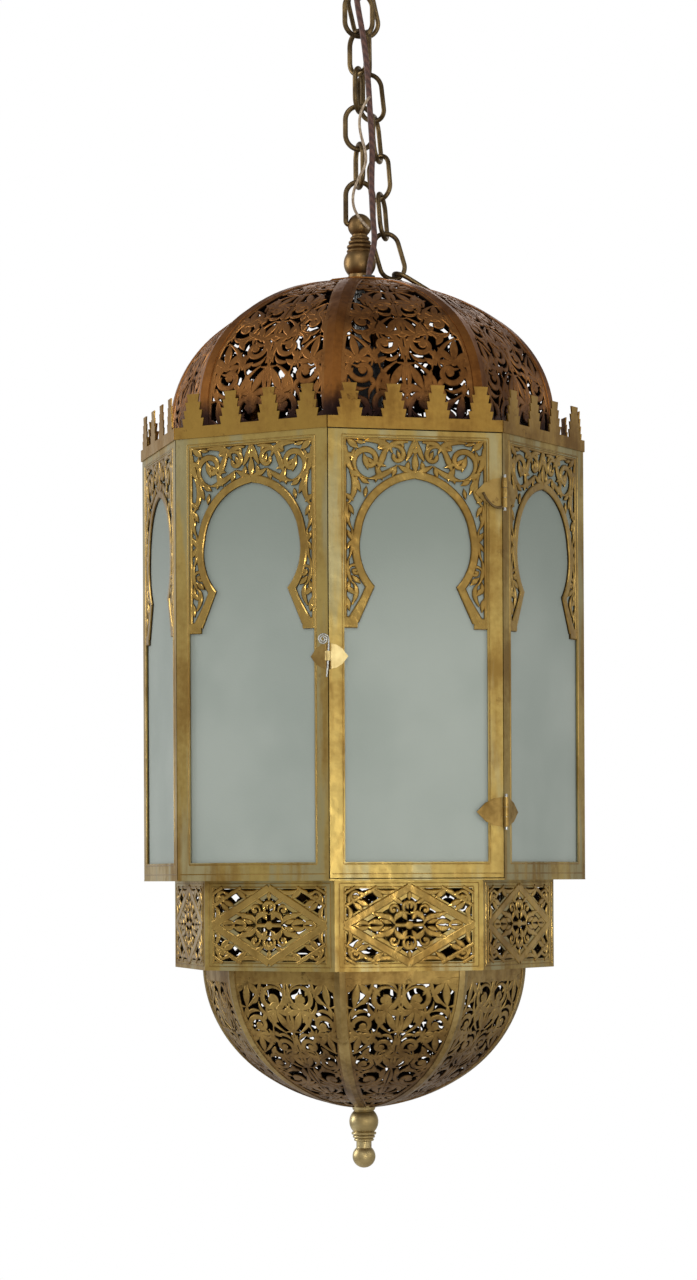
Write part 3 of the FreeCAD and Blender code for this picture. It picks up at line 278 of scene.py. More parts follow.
# %% The collar's pattern
def collar_strokes():
    """A quarter of the collar's strokes, mirrored both ways about the panel's middle."""
    quarter = [strap((54, 0), (0, 30.6), 3.4), strap((45, 31), (54, 25.8), 1.6),
               strap((27, 31), (54, 15.5), 1.7),
               curl(45.5, 23, 5.6, 200, 1.2, 1.9, -1), boss(45.5, 23, 1.9),
               bud(33, 15.5, 13, 2.6, 22), bud(21, 21.5, 14, 2.6, 36), bud(38, 11.5, 12, 2.5, 38),
               sweep((52, 3), (46, 10), (52.5, 16), 2.2), sweep((10, 29), (19, 24), (28, 29), 2.2),
               bud(51, 17, 9, 2.0, 100), bud(29, 28.5, 10, 2.0, -15), bud(36, 24, 9, 1.8, 20),
               curl(0.2, 15.2, 6.4, 265, 0.9, 2.0, 1), sweep((1, 10), (10, 11), (12.5, 3), 2.6),
               sweep((12, 1), (17, 10), (26, 6), 2.6), sweep((22, 0), (27, 5), (34, 1.5), 2.5),
               curl(13.2, 12.6, 4.8, 215, 1.0, 1.8, -1), boss(13.2, 12.4, 1.5), bud(19, 8, 11, 2.3, 4),
               bud(5, 17, 12, 2.2, 30), sweep((33, 0), (39, 5), (45, 0), 2.2), bud(2, 4, 9, 2.3, 58),
               bud(15, 1.5, 10, 2.2, 18), bud(24, 8, 9, 1.9, 15)]
    half = quarter + [stroke * [1, -1, 1] for stroke in quarter]
    centre = [boss(0, 0, 3.6), bud(0, 20, 8, 2.2, 90), bud(0, -20, 8, 2.2, -90),
              strap((-12, 0), (12, 0), 1.7)]
    return both_sides(half) + centre


collar = collar_strokes()
print("collar:", len(collar), "strokes")

# %% [markdown]
# The gores of the dome and of the bowl taper towards their ends, so their scrolls stand in rows that grow
# smaller. Every row has two mirrored scrolls, leaves round each, and an almond in the middle, and a winding
# stem ties the rows together. The height here is measured along the curved sheet.

# %% The gores' pattern
def crescent(x, y, radius, middle, width):
    """A short crescent round (x, y), its middle at that angle: ends on the radius, back beyond it."""
    ends = np.radians([middle - 38, middle + 38])
    back = math.radians(middle)
    start, end = [(x + radius * math.cos(angle), y + radius * math.sin(angle)) for angle in ends]
    return sweep(start, (x + 1.42 * radius * math.cos(back), y + 1.42 * radius * math.sin(back)), end,
                 width, 0.1)


def scroll(x, y, radius, start, hand, width):
    """A hooked scroll with a boss at its eye, a leaf inside it and three thrown off its back."""
    strokes = [curl(x, y, radius, start, 1.2, width, hand), boss(x, y, 0.2 * radius + 0.8)]
    for away, angle, length, broad in [(0.55, start + 95 * hand, 0.6, 0.8),
                                       (0.9, start - 45 * hand, 1.0, 1.0),
                                       (1.0, start + 140 * hand, 0.85, 0.95),
                                       (0.95, start + 225 * hand, 0.9, 0.95)]:
        foot = math.radians(angle)
        strokes.append(bud(x + away * radius * math.cos(foot), y + away * radius * math.sin(foot),
                           length * radius, broad * width, angle + 58 * hand))
    return strokes


def spray(x, y, radius, lean, width):
    """Five broad leaves that fan out of one foot, the middle one longest, with a boss at the foot."""
    foot = math.radians(lean)
    x, y = x - 0.75 * radius * math.cos(foot), y - 0.75 * radius * math.sin(foot)
    leaves = [bud(x, y, reach * radius, broad * width, lean + turn) for turn, reach, broad in
              [(-92, 1.15, 1.0), (-47, 1.5, 1.15), (0, 1.95, 1.25), (47, 1.5, 1.15), (92, 1.15, 1.0)]]
    return leaves + [boss(x, y, 0.17 * radius + 0.8)]


def gore_strokes(half_width, rows, width, foot, head):
    """Rows of (height, radius, motifs in half the width), from the wide end to the narrow one."""
    half = []
    for number, (y, radius, count) in enumerate(rows):
        edge = float(half_width(y))
        w = width * (0.45 + 0.55 * radius / rows[0][1])
        side = 1 if number % 2 == 0 else -1
        for place in range(count):
            x = edge * (place + 0.5 + 0.12 * side) / count
            level = y + 0.28 * radius * (1 if (number + place) % 2 == 0 else -1)
            if (number + place) % 2 == 0:
                half += scroll(x, level, 1.06 * radius, 205 + 100 * number + 160 * place, side, w)
            else:
                half += spray(x, level, radius, 90 - 28 * side + 22 * place, w)
            half += [sweep((x - side * radius, level - 1.15 * radius),
                           (x - 1.5 * side * radius, level + 0.1 * radius),
                           (x + 0.2 * side * radius, level + 1.2 * radius), 0.75 * w, 0.3),
                     bud(x + 0.9 * side * radius, level - 1.0 * radius, 0.95 * radius, 0.85 * w,
                         90 + 40 * side),
                     crescent(x, level, 1.12 * radius, 45 if side > 0 else 135, 0.7 * w),
                     crescent(x, level, 1.12 * radius, 250 if side > 0 else 290, 0.7 * w)]
        half.append(sweep((0.4, y - radius), (0.34 * radius, y), (0.4, y + radius), 0.7 * w))
    for stroke in half:
        stroke[:, 0] = np.clip(stroke[:, 0], 0.2, half_width(stroke[:, 1]) + 1)
        stroke[:, 1] = np.clip(stroke[:, 1], foot - 2, head)
    heights = np.linspace(foot, head, 40)
    half.append(np.c_[half_width(heights) + 0.6, heights, np.full(40, 2.8)])
    reach = float(half_width(foot)) + 2
    top = float(half_width(head)) + 2
    last = rows[-1]
    centre = [bud(0, last[0] + last[1], 2.2 * last[1], 0.7 * width),
              strap((-reach, foot / 2 + 1), (reach, foot / 2 + 1), foot / 2 + 1.5),
              strap((-top, head - 1), (top, head - 1), 3.0)]
    return both_sides(half) + centre


def dome_half_width(y):
    """The dome gore's open half width at a height along the sheet."""
    return np.interp(y, [0, 19, 72, 123, 168, 214], [55.5, 55.5, 51.2, 37.7, 21.5, 3.4])


def bowl_half_width(y):
    """The bowl gore's open half width at a distance down the sheet."""
    return np.interp(y, [0, 30, 60, 105, 140, 181], [48.2, 46.6, 42.2, 28.5, 15.5, 1.5])


dome_gore = gore_strokes(dome_half_width,
                         [(20, 13.5, 2), (46, 13.3, 2), (71, 12.4, 2), (94, 11, 2), (115, 9.4, 2),
                          (137, 12, 1), (158, 9.4, 1), (176, 7, 1), (189, 5, 1)], 3.0, 8, 206)
bowl_gore = gore_strokes(bowl_half_width,
                         [(21, 11.8, 2), (44, 11.2, 2), (65, 10, 2), (84, 8.4, 2), (104, 11.5, 1),
                          (124, 8.8, 1), (140, 6.4, 1), (153, 4.6, 1)], 2.7, 9, 172)
print("gores:", len(dome_gore), "and", len(bowl_gore), "strokes")

# %% [markdown]
# A stroke becomes a solid ridge by carrying a six-cornered section along it: two feet below the sheet, two
# edges, and two shoulders that catch the light. Every vertex also gets a "crest" value, 1 on the shoulders
# and 0 lower down, so that the metal stays bright on top and turns dark on the side walls and in the
# recesses:
# partly tarnish in the hollows, partly painted shade.

# %% Ridges from strokes
def as_mesh(name, points, faces, smooth=True):
    """A mesh object from an array of points in millimetres and a list of face arrays."""
    mesh = bpy.data.meshes.new(name)
    corners = np.concatenate([face.ravel() for face in faces])
    sizes = np.concatenate([np.full(len(face), face.shape[1]) for face in faces])
    mesh.vertices.add(len(points))
    mesh.vertices.foreach_set("co", (points / 1000).ravel())
    mesh.loops.add(len(corners))
    mesh.loops.foreach_set("vertex_index", corners.astype(np.int32))
    mesh.polygons.add(len(sizes))
    mesh.polygons.foreach_set("loop_start", np.r_[0, np.cumsum(sizes)[:-1]].astype(np.int32))
    mesh.polygons.foreach_set("use_smooth", np.full(len(sizes), smooth))
    mesh.update(calc_edges=True)
    mesh.validate()
    piece = bpy.data.objects.new(name, mesh)
    bpy.context.scene.collection.objects.link(piece)
    return piece


BEVEL = 1.0  # mm from a wide ridge's edge to its shoulder
STEP = 0.18  # mm from the lowest ridge to the highest, so strokes of one rise lie in different planes
GOLDEN = 0.618034  # stroke n is raised by the fraction of n times this, which keeps near numbers far apart


def ridges(strokes, place, depth, crown):
    """Points, faces and crests of all strokes: line + side * half width * left, lifted by the section."""
    points, faces, crests, first, rank = [], [], [], 0, 0
    for count in sorted({len(stroke) for stroke in strokes}):
        group = np.array([stroke for stroke in strokes if len(stroke) == count])
        way = np.gradient(group[:, :, :2], axis=1)
        way /= np.maximum(np.linalg.norm(way, axis=2, keepdims=True), 1e-9)
        left = np.stack([-way[:, :, 1], way[:, :, 0]], axis=2)
        half = group[:, :, 2]
        inner = half - np.minimum(0.6 * half, BEVEL)
        across = np.stack([-half, -half, -inner, inner, half, half], axis=2)
        rise = crown * np.minimum(1, 0.25 + half / 1.8)
        step = STEP * (((rank + np.arange(len(group))) * GOLDEN) % 1)[:, None]
        rank += len(group)
        top, edge, foot = rise + step, 0.15 * rise + step, np.full_like(half, -depth)
        height = np.stack([foot, edge, top, top, edge, foot], axis=2)
        flat = group[:, :, None, :2] + across[..., None] * left[:, :, None, :]
        points.append(place(flat[..., 0].ravel(), flat[..., 1].ravel(), height.ravel()))
        crests.append(np.broadcast_to([0.0, 0.25, 1.0, 1.0, 0.25, 0.0], height.shape).ravel())
        index = first + np.arange(len(group) * count * 6).reshape(len(group), count, 6)
        turned = np.roll(index, -1, axis=2)
        quads = np.stack([index[:, :-1], index[:, 1:], turned[:, 1:], turned[:, :-1]], axis=-1)
        faces += [quads.reshape(-1, 4), index[:, 0], index[:, -1, ::-1]]
        first += index.size
    return np.concatenate(points), faces, np.concatenate(crests)


def fret(name, body, parts, replaced=()):
    """One piece from the ridges of several panels, with its crest attribute."""
    points, faces, crests, first = [], [], [], 0
    for part_points, part_faces, part_crests in parts:
        faces += [face + first for face in part_faces]
        points.append(part_points)
        crests.append(part_crests)
        first += len(part_points)
    piece = as_mesh(name, np.concatenate(points), faces, smooth=False)
    crest = piece.data.attributes.new("crest", "FLOAT", "POINT")
    crest.data.foreach_set("value", np.concatenate(crests).astype(np.float32))
    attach(piece, body)
    if replaced:
        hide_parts(*replaced)
    return piece


# %% [markdown]
# A flat panel is placed by three directions: right, up and outward. Side 0 is the door, and side k is turned
# k eighths of a circle from it.

# %% Flat places
def side_axes(k):
    """Unit vectors to the right, upwards and outwards of side k."""
    turn = math.radians(45 * k)
    right = np.array([math.cos(turn), math.sin(turn), 0])
    outward = np.array([math.sin(turn), -math.cos(turn), 0])
    return right, np.array([0, 0, 1.0]), outward


def flat_place(k, apothem, level):
    """Takes (x, y, height) on side k to a point of the lantern, in millimetres."""
    right, up, outward = side_axes(k)

    def place(x, y, height):
        return x[:, None] * right + (y + level)[:, None] * up + (apothem + height)[:, None] * outward
    return place


FLOOR = DRUM_FLOOR * 1000
SCREEN_FRONT, SCREEN_DEPTH, SCREEN_RISE = 174.35, 0.95, 0.95
for k in range(8):
    node, body = ("door_screen", "door") if k == 0 else (f"wall_screen_{k}", "lantern")
    made = ridges(screen, flat_place(k, SCREEN_FRONT, FLOOR), SCREEN_DEPTH, SCREEN_RISE)
    piece = fret(f"fret_{node}", body, [made], [node])
print("screens done, faces each", len(piece.data.polygons))

# %% [markdown]
# The drum's frames have a bead round the window, and the collar's panels have two. They are fine half-round
# lines that stand a little proud, so they take the light as a thin bright edge.

# %% Beads round the windows
def bead_box(x, low, high, half=0.6):
    """Four straps round a rectangle."""
    return [strap((-x, low), (-x, high), half), strap((x, low), (x, high), half),
            strap((-x, low), (x, low), half), strap((-x, high), (x, high), half)]


BEAD_FRONT, BEAD_DEPTH, BEAD_RISE = 175.45, 0.3, 0.45
window_bead = bead_box(61.0, 12.0, 354.6) + [strap((-70, 4.2), (70, 4.2), 0.45)]
beads = [ridges(window_bead, flat_place(k, BEAD_FRONT, FLOOR), BEAD_DEPTH, BEAD_RISE) for k in range(8)]
fret("bead_door", "door", beads[:1])
fret("bead_walls", "lantern", beads[1:])
COLLAR_MIDDLE = -868.2
COLLAR_FRONT, COLLAR_DEPTH, COLLAR_RISE = 150.5, 1.2, 0.75
collar_edge = bead_box(54.2, -31.0, 31.0, 0.55) + bead_box(58.4, -34.0, 34.0, 0.4)
for k in range(8):
    spot = flat_place(k, COLLAR_FRONT, COLLAR_MIDDLE)
    fret(f"fret_collar_{k}", "lantern", [ridges(collar + collar_edge, spot, COLLAR_DEPTH, COLLAR_RISE)])
print("collar and beads done")

# %% [markdown]
# A gore is curved one way only, so its sheet follows a profile of circular arcs, and the panel's height runs
# along that profile. The bowl's profile is the dome's kind turned over, so its pattern is mirrored too, or
# every face would point inwards.

# %% Curved places
def profile_of(points, radii, straight=0.0):
    """The profile as (distance along, apothem, rise, outward, upward) from its arcs."""
    runs = [arc(a, b, r, 60) for a, b, r in zip(points[:-1], points[1:], radii)]
    line = np.concatenate([runs[0]] + [run[1:] for run in runs[1:]])
    if straight:
        out, rise = line[0]
        line = np.concatenate([np.c_[np.full(8, out), np.linspace(rise - straight, rise, 9)[:-1]], line])
    way = np.gradient(line, axis=0)
    way /= np.linalg.norm(way, axis=1)[:, None]
    run = np.r_[0, np.cumsum(np.linalg.norm(np.diff(line, axis=0), axis=1))]
    return run, line[:, 0], line[:, 1], way[:, 1], -way[:, 0]


def gore_place(k, profile, level, upside_down=False):
    """Takes (x, y along the sheet, height off it) on gore k to a point, in millimetres."""
    right, up, outward = side_axes(k)
    run, apothem, rise, out_part, up_part = profile
    flip = -1 if upside_down else 1

    def place(x, y, height):
        reach = np.interp(y, run, apothem) + height * np.interp(y, run, out_part)
        lift = np.interp(y, run, rise) + height * np.interp(y, run, up_part)
        return flip * x[:, None] * right + reach[:, None] * outward + (level + flip * lift)[:, None] * up
    return place


DRUM_TOP, BOWL_TOP = -469.6, -905.6
dome_profile = profile_of([(150.9, 19), (107.9, 111.5), (24, 144.9)], [103, 165], straight=19)
bowl_profile = profile_of([(127.1, 0), (79.2, 91), (9, 118.4)], [118, 150])
print("dome sheet", round(dome_profile[0][-1], 1), "mm, bowl sheet", round(bowl_profile[0][-1], 1), "mm")
GORE_DEPTH, DOME_RISE, BOWL_RISE = 1.1, 0.7, 0.65
for k in range(8):
    made = ridges(dome_gore, gore_place(k, dome_profile, DRUM_TOP), GORE_DEPTH, DOME_RISE)
    piece = fret(f"fret_dome_{k}", "lantern", [made], ["upper_gores"])
    made = ridges(bowl_gore, gore_place(k, bowl_profile, BOWL_TOP, True), GORE_DEPTH, BOWL_RISE)
    fret(f"fret_bowl_{k}", "lantern", [made], ["lower_gores"])
print("gores done, faces each", len(piece.data.polygons))

# %% [markdown]
# ## Turned finials
# A finial is turned on a lathe, so its whole shape is one radius for each height. Each ball, ring and flare
# has its own radius law, and the profile is the largest of them at every height. A circle then carries it
# round the axis.

# %% Turn the finials
def ball(z, middle, radius):
    """The radius of a sphere at each height, nothing outside it."""
    return np.sqrt(np.maximum(0, radius ** 2 - (z - middle) ** 2))


def ring(z, middle, radius, half):
    """A half-round ring that stands on a core."""
    return np.where(abs(z - middle) < half, radius - half + ball(z, middle, half), 0)


def cone(z, low, low_radius, high, high_radius):
    """A straight taper between two heights."""
    inside = (z >= low) & (z <= high)
    return np.where(inside, low_radius + (high_radius - low_radius) * (z - low) / (high - low), 0)


def turned(name, z, radius, slot_name, node, around=96):
    """Carries a profile round the axis: (radius cos a, radius sin a, z). The two poles are closed by fans."""
    angle = np.linspace(0, 2 * np.pi, around, endpoint=False)
    grid = np.stack([radius[:, None] * np.cos(angle), radius[:, None] * np.sin(angle),
                     np.broadcast_to(z[:, None], (len(z), around))], axis=2)
    index = np.arange(len(z) * around).reshape(len(z), around)
    beside = np.roll(index, -1, axis=1)
    quads = np.stack([index[:-1], index[1:], beside[1:], beside[:-1]], axis=-1).reshape(-1, 4)
    piece = as_mesh(name, grid.reshape(-1, 3), [quads, index[:1], index[-1:, ::-1]])
    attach(piece, "lantern")
    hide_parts(node)
    return piece


z = np.linspace(-263.45, -321.9, 260)
upper = np.maximum.reduce([
    ball(z, -273.6, 10.2), cone(z, -300, 6.6, -276, 6.6), cone(z, -290, 7.4, -284.2, 6.8),
    ring(z, -284.6, 8.2, 1.4), ring(z, -288.1, 9.6, 1.5), ring(z, -291.9, 11.0, 1.7),
    cone(z, -299, 9.6, -290, 8.2),
    ring(z, -295.6, 11.2, 1.2), ball(z, -305.8, 13.75), cone(z, -321.9, 9.2, -303, 9.2),
    cone(z, -321.9, 11.3, -314.5, 9.3), ring(z, -320.9, 11.4, 0.95)])
upper[0] = 0.4
turned("finial_upper", z, upper, "turned_brass", "upper_finial")
z = np.linspace(-1020.5, -1077.1, 260)
lower = np.maximum.reduce([
    cone(z, -1028.5, 8.4, -1022.4, 12.0), cone(z, -1028, 8.6, -1020, 9.2), ball(z, -1037.6, 12.4),
    ring(z, -1026.8, 9.6, 1.0), cone(z, -1054, 6.6, -1044, 9.0), ring(z, -1047.6, 10.6, 1.3),
    ring(z, -1050.4, 9.5, 1.25), ring(z, -1053.1, 8.5, 1.2), cone(z, -1062, 6.5, -1050, 6.5),
    ball(z, -1067.3, 9.8)])
lower[-1] = 0.4
turned("finial_lower", z, lower, "turned_brass", "lower_finial")
print("finials turned, widest", round(float(upper.max()), 2), round(float(lower.max()), 2))

# %% [markdown]
# ## Latch pin and hinge tail
# The latch is closed by a loose wire pin whose head is wound into a flat coil, and the upper hinge's pin ends
# in a bent tail. Both are wire, so each is one circle carried along a line: a spiral r = a + b t for the
# coil.

# %% Bend the wires
def wire(name, body, line, radius, around=12):
    """A tube: point = line + radius (cos a first + sin a second), with two normals carried along the line."""
    line = np.array(line, float)
    way = np.gradient(line, axis=0)
    way /= np.linalg.norm(way, axis=1)[:, None]
    first = np.cross(way, [0.31, 0.9, 0.3])
    first /= np.linalg.norm(first, axis=1)[:, None]
    second = np.cross(way, first)
    angle = np.linspace(0, 2 * np.pi, around, endpoint=False)
    grid = (line[:, None] + radius * (np.cos(angle)[None, :, None] * first[:, None]
                                      + np.sin(angle)[None, :, None] * second[:, None]))
    index = np.arange(len(line) * around).reshape(len(line), around)
    beside = np.roll(index, -1, axis=1)
    quads = np.stack([index[:-1], beside[:-1], beside[1:], index[1:]], axis=-1).reshape(-1, 4)
    piece = as_mesh(name, grid.reshape(-1, 3), [quads, index[:1, ::-1], index[-1:]])
    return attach(piece, body)


low, high = [np.array(corner) * 1000 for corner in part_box("latch_pin")]
axis_x, axis_y = -73.79, -178.13
turn = np.linspace(0, 2.25 * 2 * np.pi, 110)
reach = 0.9 + 3.6 * turn / turn[-1]
coil_x, coil_y, coil_z = axis_x - 4.2, axis_y - 1.65, high[2] - 9.5
coil = np.c_[coil_x + reach * np.sin(turn), np.full(turn.size, coil_y), coil_z + reach * np.cos(turn)]
stem = bent(coil[-1], (axis_x + 0.5, coil_y, high[2] - 22), (axis_x - 1.2, axis_y - 0.6, low[2] - 7),
            np.linspace(0, 1, 40)[1:])
latch_wire = wire("latch_wire", "latch", np.concatenate([coil, stem]), 0.66)
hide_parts("latch_pin")
hinge_x, hinge_y, hinge_z = -axis_x, axis_y, FLOOR + 299.3
tail = bent((hinge_x, hinge_y, hinge_z + 1), (hinge_x - 11, hinge_y - 2.0, hinge_z - 4.5),
            (hinge_x - 18.5, hinge_y - 1.0, hinge_z + 11.5), np.linspace(0, 1, 30))
hinge_tail = wire("hinge_tail", "door", tail, 1.0)
print("latch coil", round(float(reach.max()), 2), "mm out")

# %% [markdown]
# ## Metal, glass and sheath
# Old brass is never one colour. It is rubbed bright where hands and cloths reach it, brown where it has
# tarnished, and mottled everywhere. Its finish is written as arithmetic on noise, with one small class that
# turns +, - and * between sockets into Math nodes, so that the recipe can be read as a formula.

# %% A small language for finishes
class Amount:
    """A number carried by a socket. Arithmetic on it adds Math nodes to its finish."""

    def __init__(self, finish, socket):
        self.finish, self.socket = finish, socket

    def _with(self, operation, first, second):
        return self.finish.add("ShaderNodeMath", {"operation": operation}, {0: first, 1: second})

    def __add__(self, other):
        return self._with("ADD", self, other)

    def __radd__(self, other):
        return self._with("ADD", other, self)

    def __sub__(self, other):
        return self._with("SUBTRACT", self, other)

    def __rsub__(self, other):
        return self._with("SUBTRACT", other, self)

    def __mul__(self, other):
        return self._with("MULTIPLY", self, other)

    def __rmul__(self, other):
        return self._with("MULTIPLY", other, self)

    def between(self, low, high):
        """0 below low, 1 above high, and smooth in between."""
        return self.finish.add("ShaderNodeMapRange", {"interpolation_type": "SMOOTHSTEP"},
                               {"Value": self, "From Min": low, "From Max": high})


class Finish:
    """A material whose surface is one Principled shader, with its constants set on its own sockets."""

    def __init__(self, name, **constants):
        self.material = bpy.data.materials.new(name)
        self.material.use_nodes = True
        self.tree = self.material.node_tree
        self.shader = self.tree.nodes["Principled BSDF"]
        for key, value in constants.items():
            self.shader.inputs[key.replace("_", " ")].default_value = value
        self.place = self.add("ShaderNodeTexCoord", output="Object")

    def add(self, kind, settings=None, inputs=None, output=0):
        """Adds one node: its settings first, then the values and links of its sockets. Returns its output."""
        node = self.tree.nodes.new(kind)
        for key, value in (settings or {}).items():
            setattr(node, key, value)
        for key, value in (inputs or {}).items():
            if isinstance(value, Amount):
                self.tree.links.new(value.socket, node.inputs[key])
            else:
                node.inputs[key].default_value = value
        return Amount(self, node.outputs[output])

    def feed(self, **sockets):
        """Links values to the shader's sockets."""
        for key, value in sockets.items():
            self.tree.links.new(value.socket, self.shader.inputs[key.replace("_", " ")])
        return self.material

    def noise(self, scale, detail=3.0, stretch=(1, 1, 1), rough=0.55):
        """Noise on Object coordinates; a stretch above 1 makes the grain finer that way."""
        where = self.place
        if tuple(stretch) != (1, 1, 1):
            where = self.add("ShaderNodeMapping", {"vector_type": "POINT"},
                             {"Vector": where, "Scale": stretch})
        return self.add("ShaderNodeTexNoise", {}, {"Vector": where, "Scale": scale, "Detail": detail,
                                                   "Roughness": rough})

    def mix(self, factor, first, second):
        """A colour between two colours."""
        return self.add("ShaderNodeMix", {"data_type": "RGBA"}, {0: factor, 6: first, 7: second}, output=2)

    def bump(self, height, strength, distance):
        """A normal from a height in the metal's surface."""
        return self.add("ShaderNodeBump", {}, {"Height": height, "Strength": strength, "Distance": distance})


def colour(red, green, blue):
    """A colour from the usual 0-255 screen values, made linear."""
    screen_value = np.array([red, green, blue]) / 255
    linear = np.where(screen_value < 0.04045, screen_value / 12.92, ((screen_value + 0.055) / 1.055) ** 2.4)
    return (*linear.tolist(), 1.0)


print("brass, linear:", [round(value, 3) for value in colour(190, 155, 85)])

# %% [markdown]
# One recipe makes every brass on the lantern. A broad mottle chooses between the bright and the tarnished
# colour, fine vertical streaks come from wiping, dark specks are spots of old tarnish, and a shallow hammered
# bump breaks up the reflections. Fretwork adds its crest: dark on the side walls and in the recesses, partly
# tarnish and partly painted shade, and bright on the ridges.

# %% Brass
def brass(name, bright, dull, spot, gloss=0.3, spread=0.22, hammer=0.35, mottle=14.0, crest=False, grey=None,
          specks=0.75):
    """Base colour, roughness and normal of one brass. A grey tarnish in tall streaks is optional."""
    finish = Finish(name, Metallic=1.0, IOR=1.5)
    broad = finish.noise(mottle, 4.0)
    streak = finish.noise(26.0, 4.0, (3.0, 3.0, 0.35))
    fine = finish.noise(210.0, 3.0)
    speck = finish.noise(75.0, 5.0, rough=0.7)
    wear = (0.55 * broad + 0.3 * streak + 0.15 * fine).between(0.36, 0.62)
    body = finish.mix(wear, dull, bright)
    if grey:
        body = finish.mix(finish.noise(13.0, 5.0, (3.2, 3.2, 0.42)).between(0.5, 0.64) * 0.75, body, grey)
    spots = speck.between(0.6, 0.72) * specks
    body = finish.mix(spots, body, spot)
    rough = gloss + spread * (1 - wear) + 0.18 * spots + 0.08 * fine
    if crest:
        ridge = finish.add("ShaderNodeAttribute", {"attribute_name": "crest"}, output=2)
        # The crest darkens the side walls and recesses with the spot colour: partly tarnish, partly painted
        # shade.
        body = finish.mix(ridge.between(0.05, 0.8), spot, body)
        rough = rough + 0.2 * (1 - ridge)
    dent = finish.noise(38.0, 2.0)
    relief = finish.bump(dent + 0.12 * fine, hammer, 0.0022)
    return finish.feed(Base_Color=body, Roughness=rough, Normal=relief)


frame_brass = brass("brass_frames", colour(186, 161, 94), colour(134, 106, 54), colour(96, 68, 38),
                    gloss=0.24, grey=colour(164, 156, 118), specks=0.4)
fret_brass = brass("brass_fretwork", colour(186, 154, 86), colour(136, 106, 54), colour(58, 40, 20),
                   gloss=0.17, spread=0.16, hammer=0.8, crest=True, specks=0.15)
crown_metal = brass("brass_crown", colour(172, 136, 66), colour(122, 90, 42), colour(78, 50, 26), gloss=0.26)
turned_metal = brass("brass_turned", colour(206, 188, 140), colour(158, 138, 94), colour(104, 80, 50),
                     gloss=0.27, hammer=0.05, mottle=22.0)
turned_brown = brass("brass_turned_brown", colour(134, 108, 70), colour(94, 68, 40), colour(68, 46, 28),
                     gloss=0.36, hammer=0.05, mottle=26.0)
chain_metal = brass("brass_chain", colour(118, 98, 66), colour(74, 60, 42), colour(46, 36, 27), gloss=0.36,
                    hammer=0.2, mottle=60.0)
fitting_metal = brass("brass_fittings", colour(160, 132, 76), colour(120, 94, 50), colour(88, 64, 36),
                      gloss=0.34, hammer=0.4, mottle=70.0)
pale_metal = brass("brass_pale", colour(226, 206, 150), colour(190, 166, 108), colour(130, 104, 60),
                   gloss=0.34, hammer=0.25, mottle=50.0)
print("brasses mixed")

# %% [markdown]
# The dome and the bowl change with height. The dome is copper brown and nearly black low down behind the
# crown, which is painted shade between the cresting and the dome. The bowl is bright below its rim and
# browner towards its foot. The change is read from the Object coordinates, so it stays where it is when the
# lantern swings.

# %% Brass of the dome and the bowl
def faded(name, upper, lower, recess, low, high, gloss=0.3, crest=False):
    """Brass that goes from one pair of colours (bright, dull) below low to another above high, in metres."""
    finish = Finish(name, Metallic=1.0, IOR=1.5)
    height = finish.add("ShaderNodeSeparateXYZ", {}, {0: finish.place}, output=2)
    broad = finish.noise(17.0, 4.0)
    streak = finish.noise(30.0, 4.0, (2.6, 2.6, 0.4))
    fine = finish.noise(210.0, 3.0)
    speck = finish.noise(80.0, 5.0, rough=0.7)
    climb = (height + 0.02 * (streak - 0.5)).between(low, high)
    wear = (0.5 * broad + 0.3 * streak + 0.2 * fine).between(0.36, 0.62)
    body = finish.mix(climb, finish.mix(wear, lower[1], lower[0]), finish.mix(wear, upper[1], upper[0]))
    body = finish.mix(speck.between(0.58, 0.7) * 0.6, body, recess)
    rough = gloss + 0.2 * (1 - wear) + 0.08 * fine
    if crest:
        ridge = finish.add("ShaderNodeAttribute", {"attribute_name": "crest"}, output=2)
        # The crest darkens the side walls and recesses with the recess colour: partly tarnish, partly painted
        # shade.
        body = finish.mix(ridge.between(0.05, 0.8), recess, body)
        rough = rough + 0.2 * (1 - ridge)
    relief = finish.bump(finish.noise(38.0, 2.0) + 0.12 * fine, 0.45, 0.0022)
    return finish.feed(Base_Color=body, Roughness=rough, Normal=relief)


copper = (colour(146, 94, 44), colour(98, 60, 28))
# Near-black colours for the dome's foot behind the crown: painted shade.
shade_behind_crown = (colour(74, 52, 44), colour(44, 30, 30))
gold = (colour(176, 146, 84), colour(124, 96, 52))
brown = (colour(126, 96, 58), colour(80, 58, 36))
dome_metal = faded("brass_dome", copper, shade_behind_crown, colour(62, 38, 20), -0.452, -0.432, 0.36)
dome_fret = faded("brass_dome_fretwork", (colour(156, 106, 56), colour(100, 64, 32)), shade_behind_crown,
                  colour(34, 20, 14), -0.456, -0.43, 0.34, crest=True)
bowl_fret = faded("brass_bowl_fretwork", gold, brown, colour(40, 28, 18), -1.0, -0.93, 0.28, crest=True)
bowl_metal = faded("brass_bowl", (colour(172, 148, 96), colour(130, 106, 62)), brown, colour(80, 58, 32),
                   -1.03, -0.96)
print("dome and bowl brass mixed")

# %% [markdown]
# The panes are ground glass with a grey-green cast: they scatter light and show nothing behind them. A rough
# dielectric that lets a little light through is enough, because a true see-through glass would show the lamp.

# %% Glass, sheath and the rest
pane = Finish("glass_frosted", IOR=1.5, Transmission_Weight=0.12, Specular_IOR_Level=0.4)
grain = pane.noise(650.0, 2.0)
cloud = pane.noise(7.0, 3.0)
level = pane.add("ShaderNodeSeparateXYZ", {}, {0: pane.place}, output=2)
lit = pane.mix(cloud.between(0.35, 0.65), colour(152, 161, 153), colour(165, 173, 165))
